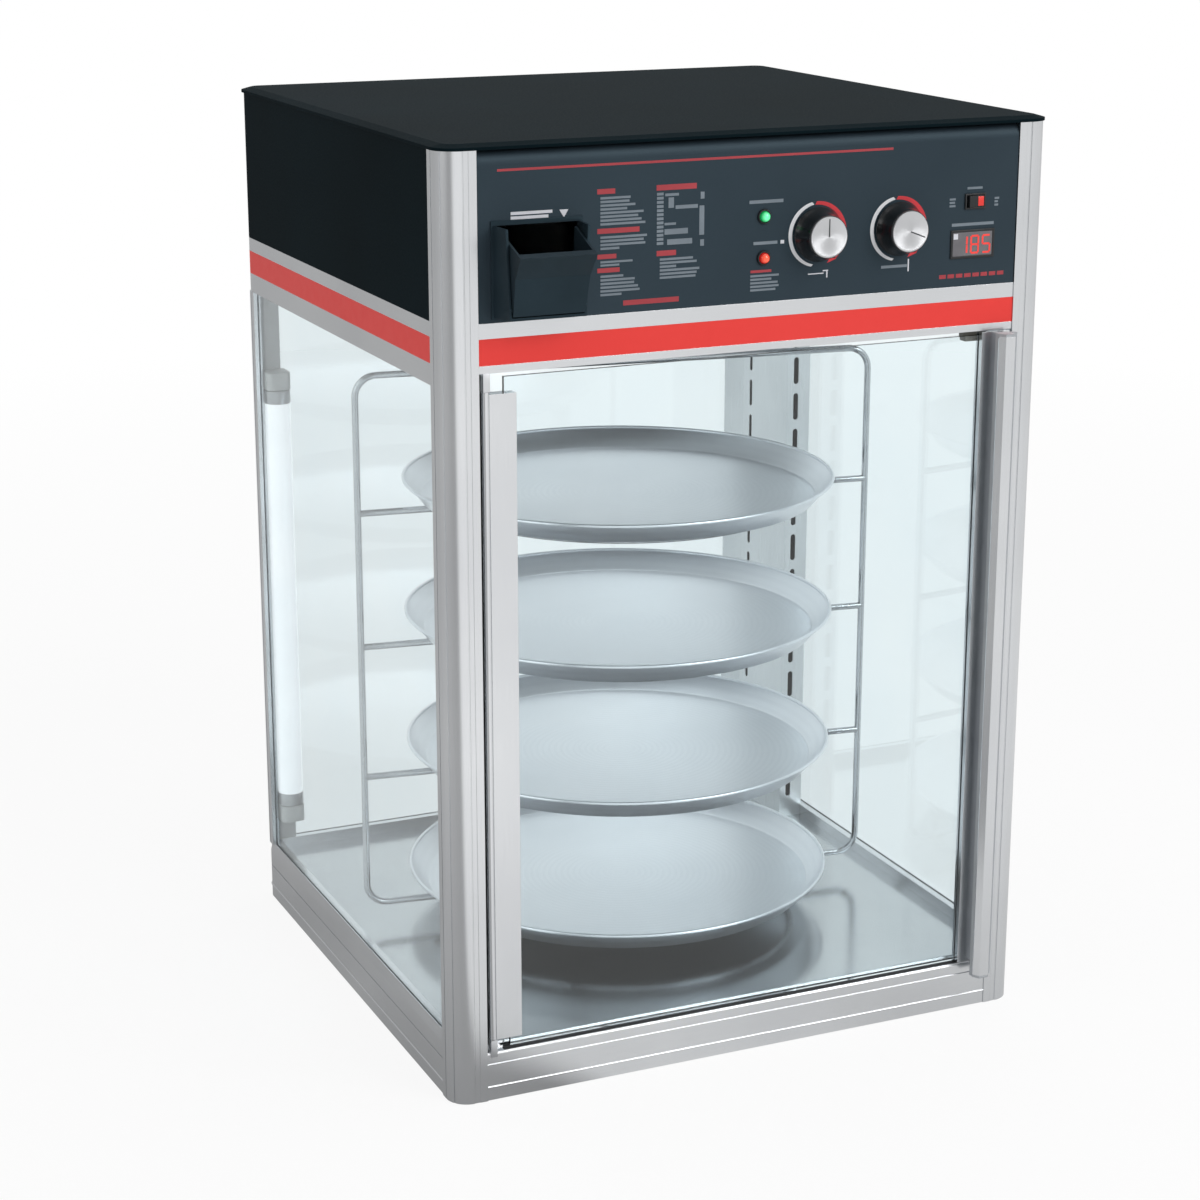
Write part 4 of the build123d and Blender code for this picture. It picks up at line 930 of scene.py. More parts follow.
@dataclass
class Dial(Part):
    """A control dial: fluted black skirt, turned cap with a pointer, and its printed ring."""

    name: str
    node: str
    body: str
    x: float
    pointer: float
    z: float = 746.5
    base_y: float = -275.0
    face_y: float = -295.0
    skirt_radius: float = 24.0
    face_radius: float = 18.3
    cap_radius: float = 17.4
    ring_outer: float = 28.0
    ring_inner: float = 26.0
    # The ring's white and red arcs: start and end in degrees counter-clockwise from +X, and how far
    # the inner edge's centre lies off the dial's.
    low_arc: tuple[float, float, tuple[float, float]] = (98.0, 264.0, (1.5, -0.2))
    high_arc: tuple[float, float, tuple[float, float]] = (-56.0, 99.0, (-1.5, -0.9))
    # The ring's pointed end, from the dial's middle.
    tip: tuple[tuple[float, float], ...] = ((9.5, -25.2), (18.6, -22.0), (14.6, -17.2))
    skin_y: float = -273.98
    ink: float = 0.12
    # Flutes: from one to the next and the part of it that is hollow, in degrees; where they begin
    # above the skirt's foot; how far they are inset and sunk.
    flute_pitch: float = 15.0
    flute_span: tuple[float, float] = (4.0, 11.0)
    flute_foot: float = 4.4
    flute_inset: float = 0.4
    flute_sink: float = 0.7
    # Glossy phenolic: deep black with sharp highlights on its flutes.
    phenolic: Finish = Finish(
        "black_phenolic_skirt", "0f1214", "181c1f", 0.0, (0.16, 0.26), 0.8, 0.006, 30.0, 0.0, "", 0.4
    )
    pointer_ink: Finish = Finish("pointer_line", "3a3d40", "2b2d30", 0.0, (0.4, 0.5), 0.5, 0.01, 10.0)
    white_ink: Finish = Finish("white_panel_ink", "e6e7ea", "d5d7db", 0.0, (0.42, 0.55), 0.6, 0.01, 20.0)
    red_ink: Finish = Finish("red_dial_ink", "d8303a", "c2262f", 0.0, (0.4, 0.5), 0.6, 0.01, 20.0)

    def skirt(self) -> Piece:
        """The moulded skirt with flutes for the fingers.

        Returns:
            The settled piece.
        """
        height = self.base_y - self.face_y
        flare = self.skirt_radius - self.face_radius
        profile = [
            (self.skirt_radius - 0.6, 0.0),
            (self.skirt_radius, 0.6),
            (self.skirt_radius, 2.2),
            (self.skirt_radius - flare * 0.30, 4.6),
            (self.face_radius + flare * 0.18, height * 0.55),
            (self.face_radius, height - 1.4),
            (self.face_radius - 0.5, height - 0.5),
            (self.cap_radius + 0.1, height - 0.5),
            (self.cap_radius + 0.1, height - 1.6),
        ]
        skirt = turned(profile, Facing.FRONT, (self.x, self.base_y, self.z), 72)
        middle = Vector((self.x, 0, self.z)) * MM
        for face in skirt.data.polygons:
            out = face.center - middle
            turn = math.degrees(math.atan2(out.x, out.z)) % self.flute_pitch
            on_side = self.flute_foot < self.base_y - face.center.y / MM < height - 1.6
            hollow = self.flute_span[0] < turn < self.flute_span[1]
            face.select = on_side and hollow and len(face.vertices) == 4
        with Editing(skirt, ""):
            bpy.ops.mesh.select_mode(type="FACE")
            bpy.ops.mesh.inset(thickness=self.flute_inset * MM, depth=-self.flute_sink * MM)
            bpy.ops.mesh.select_mode(type="VERT")
        return smooth(bevelled(skirt, 0.25, angle_limit=math.radians(35)), 42.0)

    def cap(self) -> Piece:
        """The turned cap, a shallow dish with a bright chamfer.

        Returns:
            The settled piece.
        """
        depth = 1.6
        profile = [
            (self.cap_radius, 0.0),
            (self.cap_radius, depth - 0.45),
            (self.cap_radius - 0.55, depth),
            (self.cap_radius - 1.4, depth),
            (self.cap_radius - 1.7, depth - 0.12),
            (self.cap_radius * 0.3, depth - 0.2),
            (self.cap_radius * 0.04, depth - 0.2),
        ]
        return smooth(turned(profile, Facing.FRONT, (self.x, self.face_y + depth, self.z), 96))

    def pointer_line(self) -> Piece:
        """The dark line from the cap's middle to its edge, at rest where the photograph has it.

        Returns:
            The settled piece.
        """
        line = printed([Bar(-0.55, 0.55, self.cap_radius - 2.0, 0.2)], 0.0, 0.16)
        line.rotation_euler = (0, math.radians(self.pointer), 0)
        line.location = Vector((self.x, self.face_y + 0.22, self.z)) * MM
        return settle(line)

    def ring_part(self, start: float, end: float, shift: tuple[float, float]) -> Piece:
        """A part of the printed ring, whose width swells and thins.

        Args:
            start: Where it starts, in degrees counter-clockwise from +X.
            end: Where it ends.
            shift: How far the inner edge's centre lies off the dial's, along x and z.

        Returns:
            The settled piece.
        """
        circle = {"vertices": 120, "radius": self.ring_outer * MM, "fill_type": "NOTHING"}
        ring = fresh(bpy.ops.mesh.primitive_circle_add, **circle)
        off = (*shift, 0)
        ratio = self.ring_inner / self.ring_outer
        with Editing(ring):
            draw_out(off)
            bpy.ops.transform.resize(value=(ratio, ratio, 1), center_override=Vector(off) * MM)
            bpy.ops.mesh.select_all(action="DESELECT")
        span = (end - start) % 360
        for corner in ring.data.vertices:
            turn = (math.degrees(math.atan2(corner.co.y, corner.co.x)) - start) % 360
            corner.select = turn > span + 0.01
        with Editing(ring, ""):
            bpy.ops.mesh.delete(type="VERT")
        raised(ring, (0, 0, self.ink))
        ring.rotation_euler = (math.pi / 2, 0, 0)
        ring.location = Vector((self.x, self.skin_y, self.z)) * MM
        return settle(ring)

    def build(self, cabinet: Cabinet) -> None:
        """Stands the detailed dial in the place of the model's."""
        spun = SpunFace(f"turned_cap_{self.name}", "d9dadc", (self.x, self.face_y, self.z))
        tip = [(self.x + x, self.z + z) for x, z in self.tip]
        pieces = (
            ("skirt", self.skirt(), self.phenolic, "black_plastic", (self.node,)),
            ("cap", self.cap(), spun, "turned_steel", ()),
            ("pointer", self.pointer_line(), self.pointer_ink, "black_plastic", ()),
        )
        for word, piece, finish, slot, replaced in pieces:
            cabinet.place(piece, f"{self.name}_{word}", finish, self.body, slot, replaced)
        prints = (
            ("low", self.ring_part(*self.low_arc), self.white_ink, "white_plastic"),
            ("high", self.ring_part(*self.high_arc), self.red_ink, "red_insert"),
            ("tip", ink_patch(tip, self.skin_y, self.ink), self.red_ink, "red_insert"),
        )
        for word, piece, ink, slot in prints:
            cabinet.place(piece, f"{self.name}_ring_{word}", ink, "casing", slot)


@dataclass
class ControlPanel(Part):
    """Printing, indicators, light switch and readout of the front panel."""

    skin_y: float = -274.0
    ink: float = 0.12
    indicator_x: float = 5.0
    indicator_rows: tuple[float, float] = (764.5, 729.5)
    lens_radius: float = 4.6
    lens_foot: float = 1.8
    lens_rise: float = 4.5
    readout_x: float = 209.7
    readout_z: float = 729.0
    readout_face_y: float = -274.6
    digit_height: float = 16.5
    digit_width: float = 9.0
    digit_pitch: float = 11.6
    digit_shift: tuple[float, float] = (2.2, -0.6)
    stroke: float = 1.7
    reading: str = "185"
    segments_lit: tuple[tuple[str, str], ...] = (("1", "bc"), ("5", "acdfg"), ("8", "abcdefg"))
    window_half: tuple[float, float] = (19.8, 10.3)
    window_depth: float = 0.25
    # The rocker's red end: where its copy is cut, its share of the rocker's height and the height
    # about which it is drawn in.
    red_end_from: tuple[float, float] = (213.6, -273.2)
    red_end_share: float = 0.86
    red_end_z: float = 766.0
    red_ink: Finish = Finish("red_panel_ink", "b23a42", "9c2f38", 0.0, (0.42, 0.55), 0.6, 0.01, 40.0)
    grey_ink: Finish = Finish("grey_panel_ink", "7d8891", "69747d", 0.0, (0.45, 0.6), 0.6, 0.01, 40.0)
    white_ink: Finish = Finish("white_mark_ink", "dfe0e6", "cfd1d8", 0.0, (0.42, 0.55), 0.6, 0.01, 20.0)
    bezel: Finish = Finish(
        "black_abs_bezel", "101214", "191c1f", 0.0, (0.3, 0.42), 0.5, 0.012, 20.0, 0.0, "", 0.0
    )
    # Smoked acrylic over the readout.
    window: Finish = Finish(
        "smoked_readout_window", "6e6c70", "5d5a5f", 0.0, (0.1, 0.18), 3.0, 0.004, 20.0, 0.0, "", 0.6
    )
    lit: Finish = Finish(
        "lit_red_segment", "ee4038", "d8342e", 0.0, (0.4, 0.5), 1.0, 0.005, 10.0, 0.0, "", 0.0, 0.5, 0.3
    )
    rocker_red: Finish = Finish(
        "red_rocker_end", "e5352c", "cf2a24", 0.0, (0.28, 0.38), 0.8, 0.008, 10.0, 0.0, "", 0.0, 0.5, 0.15
    )

    def red_bars(self) -> list[Bar]:
        """Headings, rule and footers, as plain bars."""
        rule = [Bar(-236.0, 128.0, 816.2, 814.2)]
        headings = [
            Bar(-148.3, -132.3, 795.4, 791.2), Bar(-148.3, -110.3, 763.0, 758.8),
            Bar(-148.3, -131.2, 741.8, 738.0), Bar(-148.3, -128.2, 730.4, 726.6),
            Bar(-94.9, -58.2, 796.0, 791.4), Bar(-94.6, -76.8, 741.6, 737.2),
            Bar(-124.9, -73.9, 702.4, 698.2), Bar(-7.0, 12.7, 719.4, 717.2),
        ]
        blocks = [Bar(177.7 + 8.4 * step, 184.3 + 8.4 * step, 703.2, 699.8) for step in range(8)]
        return rule + headings + blocks

    def grey_bars(self) -> list[Bar]:
        """Rows in place of the panel's wording, and its plain diagram."""
        blocks = (
            (-145.5, 788.8, 3.05, 1.9, (27, 26, 31.4, 24, 38.8, 34, 37, 40.5)),
            (-145.5, 756.6, 3.05, 1.9, (42, 39, 40.5, 17)),
            (-145.5, 736.2, 2.7, 1.7, (29, 17)),
            (-145.5, 724.4, 3.05, 1.9, (20.6, 31, 30.5, 34, 35.5, 19)),
            (-91.6, 735.2, 3.05, 1.9, (30.5, 34, 15, 36.5, 34, 33)),
            (-94.5, 789.6, 3.4, 2.3, (6,) * 13),
            (-7.1, 715.4, 3.0, 1.8, (27, 20, 26, 27, 24)),
            (185.6, 769.4, 2.9, 1.8, (6, 5.4, 6)),
            (231.0, 768.4, 2.9, 1.8, (4.6, 3.4, 3.8)),
        )
        bars = [bar for block in blocks for bar in text_rows(*block)]
        bars += [
            Bar(-87.0, -74.5, 788.6, 786.4), Bar(-84.0, -79.0, 785.2, 776.6),
            Bar(-77.5, -57.0, 778.4, 775.4), Bar(-87.5, -77.0, 764.4, 762.4),
            Bar(-87.5, -66.0, 759.2, 754.6), Bar(-85.0, -62.0, 750.6, 746.0),
            Bar(-55.5, -51.0, 777.0, 752.6), Bar(-54.5, -51.0, 788.4, 782.6),
            Bar(-54.5, -51.0, 748.8, 743.4), Bar(-9.0, 23.0, 778.4, 775.6), Bar(-4.6, 18.0, 743.4, 740.8),
            Bar(119.3, 145.0, 715.2, 712.8), Bar(203.1, 218.3, 778.4, 776.4),
            Bar(188.7, 231.0, 747.4, 744.8),
        ]
        return bars

    def white_bars(self) -> list[Bar]:
        """The pale marks: two rows over the funnel and the ticks under the dials."""
        bars = text_rows(-224.7, 781.2, 3.6, 2.5, (36.5, 33.0))
        bars += [
            Bar(48.0, 63.0, 713.2, 712.3), Bar(65.6, 66.8, 714.6, 708.8), Bar(62.2, 67.4, 715.4, 714.4),
            Bar(145.6, 146.8, 719.6, 708.8), Bar(21.0, 24.4, 743.6, 740.6),
        ]
        return bars

    def fill_arrow(self) -> Piece:
        """A small triangle that points down to the funnel."""
        return ink_patch([(-182.0, 780.8), (-174.0, 780.8), (-178.0, 774.2)], self.skin_y + 0.02, self.ink)

    def indicator(self, z: float) -> tuple[Piece, Piece]:
        """An indicator's bezel and its lens.

        Args:
            z: The indicator's height.

        Returns:
            The settled bezel and lens.
        """
        centre = (self.indicator_x, self.skin_y, z)
        rings = [(6.4, 0.0), (6.4, 1.0), (5.9, 1.9), (5.2, 2.0), (4.75, 1.6), (4.75, 0.8)]
        bezel = turned(rings, Facing.FRONT, centre, 48)
        radius, foot, rise = self.lens_radius, self.lens_foot, self.lens_rise
        dome = [(radius, 0.4), (radius, foot)]
        for turn in range(15, 90, 15):
            angle = math.radians(turn)
            dome.append((radius * math.cos(angle), foot + rise * math.sin(angle)))
        dome.append((0.35, foot + rise))
        lens = turned(dome, Facing.FRONT, centre, 40)
        return smooth(bezel), smooth(lens, 50.0)

    def digit_bars(self) -> tuple[list[Bar], list[Bar]]:
        """The lit segments of the readout: level ones and upright ones."""
        shown = dict(self.segments_lit)
        level, upright = [], []
        half_w, half_h, half_s = self.digit_width / 2, self.digit_height / 2, self.stroke / 2
        gap = 0.25
        for place, figure in enumerate(self.reading):
            x = self.readout_x + self.digit_shift[0] + (place - 1) * self.digit_pitch
            z = self.readout_z + self.digit_shift[1]
            for letter in shown[figure]:
                if letter in "adg":
                    middle = z + {"a": half_h - half_s, "g": 0.0, "d": half_s - half_h}[letter]
                    reach = half_w - half_s - gap
                    level.append(Bar(x - reach, x + reach, middle + half_s, middle - half_s))
                else:
                    side = x + (half_w - half_s) * (1 if letter in "bc" else -1)
                    low, high = (0.0, half_h - half_s) if letter in "bf" else (half_s - half_h, 0.0)
                    upright.append(Bar(side - half_s, side + half_s, z + high - gap, z + low + gap))
        return level, upright

    def window_frame(self) -> Piece:
        """The readout's window, a thin plate with softened edges.

        Returns:
            The settled piece.
        """
        half_w, half_h = self.window_half
        x, z = self.readout_x, self.readout_z
        outline = Bar(x - half_w, x + half_w, z + half_h, z - half_h)
        plate = printed([outline], self.readout_face_y, self.window_depth)
        return smooth(bevelled(plate, 0.12))

    def rocker_end(self, rocker: Piece) -> Piece:
        """The red end of the rocker: the right part of its copy, drawn in and moved a hair out.

        Args:
            rocker: The rocker's own finished copy.

        Returns:
            The settled piece.
        """
        end = loose_copy(rocker)
        cut = Vector((self.red_end_from[0], 0, 0)) * MM
        front = Vector((0, self.red_end_from[1], 0)) * MM
        size = (1.0, 1.0, self.red_end_share)
        with Editing(end):
            for place, normal in ((cut, (1, 0, 0)), (front, (0, -1, 0))):
                bpy.ops.mesh.select_all(action="SELECT")
                bpy.ops.mesh.bisect(plane_co=place, plane_no=normal, clear_inner=True, use_fill=True)
            bpy.ops.mesh.select_all(action="SELECT")
            bpy.ops.transform.resize(value=size, center_override=(0, 0, self.red_end_z * MM))
            bpy.ops.transform.translate(value=(-0.00025, -0.0001, 0))
            bpy.ops.mesh.normals_make_consistent(inside=False)
        return smooth(end)

    def build(self, cabinet: Cabinet) -> None:
        """Adds the printing, indicators, switch and readout."""
        sunk = self.skin_y + 0.02
        prints = (
            ("panel_red_bars", self.red_bars(), self.red_ink, "red_insert"),
            ("panel_grey_bars", self.grey_bars(), self.grey_ink, "white_plastic"),
            ("panel_white_bars", self.white_bars(), self.white_ink, "white_plastic"),
        )
        for name, bars, ink, slot in prints:
            cabinet.place(printed(bars, sunk, self.ink), name, ink, "casing", slot)
        cabinet.place(self.fill_arrow(), "fill_arrow", self.white_ink, "casing", "white_plastic")
        lenses = (
            ("indicator_power", "green_lens", "6dffb0", "0b9a4c"),
            ("indicator_water", "red_lens", "ff5a3a", "b01712"),
        )
        for z, (node, slot, middle, rim) in zip(self.indicator_rows, lenses):
            bezel, lens = self.indicator(z)
            glow = LitLens(f"{slot}_lit", middle, rim, (self.indicator_x, self.skin_y - 6.5, z), 5.6, 0.45)
            cabinet.place(bezel, f"{node}_bezel", self.bezel, "casing", "black_plastic", (node,))
            cabinet.place(lens, f"{node}_lens", glow, "casing", slot)
        cabinet.rounded("switch_housing", 0.35, self.bezel, "control_body")
        cabinet.rounded("light_rocker", 0.3, self.bezel, "black_plastic")
        end = self.rocker_end(bpy.data.objects["light_rocker_moulded"])
        cabinet.place(end, "light_rocker_red_end", self.rocker_red, "rocker", "red_lens")
        cabinet.rounded("display_module", 0.35, self.bezel, "control_body")
        cabinet.place(self.window_frame(), "readout_window", self.window, "casing", "control_body")
        level, upright = self.digit_bars()
        segments = [printed(bars, self.readout_face_y - 0.24, 0.1) for bars in (level, upright)]
        cabinet.place(joined(segments), "readout_digits", self.lit, "casing", "red_lens")
        label = printed([Bar(190.4, 194.8, 738.4, 733.6)], self.readout_face_y - 0.24, 0.08)
        cabinet.place(label, "readout_label", self.white_ink, "casing", "white_plastic")


@dataclass
class WaterFunnel(Part):
    """The tilting funnel for water and the pocket that it closes."""

    # Moulded ABS with a fine spark-eroded grain, satin black.
    abs_black: Finish = Finish(
        "grained_black_abs", "1b252b", "243038", 0.0, (0.38, 0.50), 0.55, 0.02, 45.0, 0.0, "", 0.0, 0.30,
        cast="a8d0e0",
    )

    panel_y: float = -275.0
    middle_x: float = -202.0
    foot_z: float = 703.0
    foot_share: float = 0.878
    share_per_mm: float = 0.00116
    bend_z: float = 732.0
    bend_back: float = 6.2
    foot_back: float = 3.6
    foot_drop: float = 2.3
    foot_band: float = 11.0
    front_from: float = 25.0

    def narrowed(self, piece: Piece) -> None:
        """Draws the part in front of the panel in from both sides, the more the lower it is.

        Args:
            piece: The copy of the funnel or its pocket.
        """
        for corner in piece.data.vertices:
            ahead = self.panel_y - corner.co.y / MM
            reach = min(max((ahead - 0.3) / 1.0, 0.0), 1.0)
            share = self.foot_share + self.share_per_mm * (corner.co.z / MM - self.foot_z)
            middle = self.middle_x * MM
            corner.co.x = middle + (corner.co.x - middle) * (1 + (share - 1) * reach)

    def bent(self, piece: Piece) -> None:
        """Gives the funnel's front wall its crease and brings its foot back.

        Args:
            piece: The copy of the funnel.
        """
        with Editing(piece):
            bpy.ops.mesh.select_all(action="SELECT")
            bpy.ops.mesh.bisect(plane_co=(0, 0, self.bend_z * MM), plane_no=(0, 0, 1))
        for corner in piece.data.vertices:
            ahead = self.panel_y - corner.co.y / MM
            height = corner.co.z / MM
            if ahead <= self.front_from:
                continue
            if abs(height - self.bend_z) < 0.05:
                corner.co.y += self.bend_back * MM
            elif height < self.foot_z + self.foot_band:
                corner.co.y += self.foot_back * MM
                corner.co.z -= self.foot_drop * MM
        self.narrowed(piece)

    def build(self, cabinet: Cabinet) -> None:
        """Stands moulded copies with rounded edges in the place of the funnel and pocket."""
        cabinet.rounded("fill_pocket", 0.6, self.abs_black, "black_plastic", self.narrowed)
        cabinet.rounded("fill_hopper", 0.45, self.abs_black, "black_plastic", self.bent, 12.0)


@dataclass
class Door(Part):
    """The glass door's stiles, handle, hinges and catch."""

    core: Finish = Finish(
        "grey_pvc_core", "b0b4b8", "a2a6aa", 0.0, (0.4, 0.55), 0.8, 0.01, 40.0, 0.3, "c0c4c7",
        grain=Grain.ALONG_Z,
    )
    cast: Finish = Finish("cast_hinge_block", "dcdee0", "caccd0", 1.0, (0.32, 0.42), 0.9, 0.01, 25.0, 0.3)
    magnet: Finish = Finish(
        "brown_magnet_case", "6d6a61", "5a574f", 0.0, (0.4, 0.55), 0.7, 0.02, 20.0, 0.3, "8b887f"
    )

    def build(self, cabinet: Cabinet) -> None:
        """Dresses the door."""
        satin = FrameAndGlass().satin(Grain.ALONG_Z)
        cabinet.dress(satin, "hinge_stile", "handle_stile", "door_handle")
        cabinet.dress(self.core, "handle_core")
        cabinet.rounded("hinge_blocks", 0.5, self.cast, "satin_aluminium")
        cabinet.rounded("door_catch", 0.7, self.magnet, "catch_plastic")


@dataclass
class Rack(Part):
    """The turning wire rack and its four round pans."""

    axis_x: float = -4.0
    floor_radius: float = 188.0
    rim_radius: float = 205.0
    pan_height: float = 20.5
    sheet: float = 1.2
    bead: float = 1.7
    # Bright chrome plate on wire: a tight reflection with a faint drawn line.
    chrome: Finish = Finish(
        "chrome_plated_wire", "c3c6c9", "aeb2b6", 1.0, (0.12, 0.22), 1.4, 0.008, 40.0
    )
    steel: Finish = Finish("turned_steel", "a3a5a8", "8c8e91", 1.0, (0.25, 0.38), 0.8, 0.006, 30.0)

    def pan(self, seat: float) -> Piece:
        """A spun pan with sloped sides and a rolled bead at its rim.

        Args:
            seat: The height of its underside.

        Returns:
            The settled piece.
        """
        bead_x = self.rim_radius - self.bead
        bead_z = self.pan_height - self.bead
        profile = [(self.floor_radius - 2.0, 0.0), (self.floor_radius, 0.5), (bead_x - 1.4, bead_z - 1.3)]
        for turn in range(-60, 211, 30):
            angle = math.radians(turn)
            profile.append((bead_x + self.bead * math.cos(angle), bead_z + self.bead * math.sin(angle)))
        profile += [(self.floor_radius - 0.8, self.sheet + 0.5), (self.floor_radius - 2.6, self.sheet)]
        return smooth(turned(profile, Facing.UP, (self.axis_x, 0.0, seat), 128), 50.0)

    def build(self, cabinet: Cabinet) -> None:
        """Dresses the rack and stands spun pans in the place of the model's."""
        cabinet.dress(self.chrome, "rack_frame", "rack_rings")
        cabinet.dress(self.steel, "drive_coupling", "pivot_post")
        spun = Finish(
            "spun_aluminium_pan", "e9ecf0", "dde1e6", 1.0, (0.30, 0.36), 6.0, 0.0016, 160.0,
            rings=(self.axis_x, 0.0, 0.0),
        )
        for tier in range(1, 5):
            node = f"pan_tier_{tier}"
            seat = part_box(node)[0].z / MM
            cabinet.place(self.pan(seat), f"spun_pan_{tier}", spun, "rack", "pan_aluminium", (node,))


@dataclass
class Lamp(Part):
    """The white tube at the rear left, its end caps and holders."""

    x: float = -262.6
    y: float = 245.0
    bottom: float = 104.0
    length: float = 438.0
    radius: float = 12.8
    cap_length: float = 14.0
    tube: Finish = Finish(
        "white_coated_tube", "f4f6f8", "e9edf0", 0.0, (0.18, 0.26), 3.0, 0.003, 60.0,
        coat=0.5, glow=0.75,
    )
    cap: Finish = Finish("pressed_tube_cap", "b5b8ba", "9a9da0", 1.0, (0.3, 0.42), 0.9, 0.01, 15.0)
    holder: Finish = Finish(
        "white_moulded_holder", "d9dbda", "c8cbca", 0.0, (0.38, 0.5), 0.6, 0.015, 20.0, 0.3, "eceeed"
    )
    channel: Finish = Finish(
        "white_enamelled_channel", "cfd2d3", "bfc3c5", 0.0, (0.35, 0.48), 1.4, 0.012, 80.0, 0.4, "e4e6e6"
    )

    def build(self, cabinet: Cabinet) -> None:
        """Stands a tube with pressed end caps in the place of the model's."""
        r, end, cap = self.radius, self.length, self.cap_length
        place = (self.x, self.y, self.bottom)
        rings = [(r * 0.7, cap - 2), (r, cap), (r, end - cap), (r * 0.7, end - cap + 2)]
        tube = turned(rings, Facing.UP, place, 48)
        cabinet.place(smooth(tube), "lamp_glass_tube", self.tube, "casing", "lamp_white", ("lamp_tube",))
        caps = []
        for low, way in ((0.0, 1), (end, -1)):
            rings = [(r * 0.82, 0.0), (r, 1.2), (r * 1.01, cap - 1.0), (r * 0.99, cap)]
            profile = [(radius, low + way * height) for radius, height in rings]
            caps.append(smooth(turned(profile, Facing.UP, place, 48)))
        cabinet.place(joined(caps), "lamp_end_caps", self.cap, "casing", "turned_steel")
        cabinet.rounded("lamp_holders", 0.8, self.holder, "white_plastic")
        cabinet.dress(self.channel, "lamp_channel")


@dataclass
class Workings(Part):
    """What works inside the housing: motor, water tank, heaters and fan."""

    motor: Finish = Finish(
        "grey_motor_enamel", "4a4e52", "3d4145", 0.0, (0.38, 0.5), 1.2, 0.012, 30.0, 0.4, "7b8085"
    )
    sheath: Finish = Finish("heater_sheath", "86827c", "6f6b66", 1.0, (0.4, 0.55), 1.0, 0.01, 18.0)
    galvanised: Finish = Finish(
        "galvanised_sheet", "a2a6a8", "868b8e", 1.0, (0.35, 0.55), 12.0, 0.01, 50.0, 0.3
    )
    wheel: Finish = Finish("pressed_fan_wheel", "b8babc", "a0a2a5", 1.0, (0.3, 0.45), 1.2, 0.01, 30.0)
    body: Finish = Finish("dark_thermostat_case", "24272a", "2f3337", 0.0, (0.4, 0.52), 0.7, 0.015, 20.0)

    def build(self, cabinet: Cabinet) -> None:
        """Dresses the workings."""
        cabinet.dress(self.motor, "rack_motor")
        cabinet.dress(FrameAndGlass().wall, "water_tank")
        cabinet.dress(self.sheath, "tank_heater", "air_heater")
        cabinet.dress(self.galvanised, "blower_housing")
        cabinet.dress(self.wheel, "blower_wheel")
        cabinet.dress(self.body, "thermostat_bodies")


# ---------------------------------------------------------------- studio


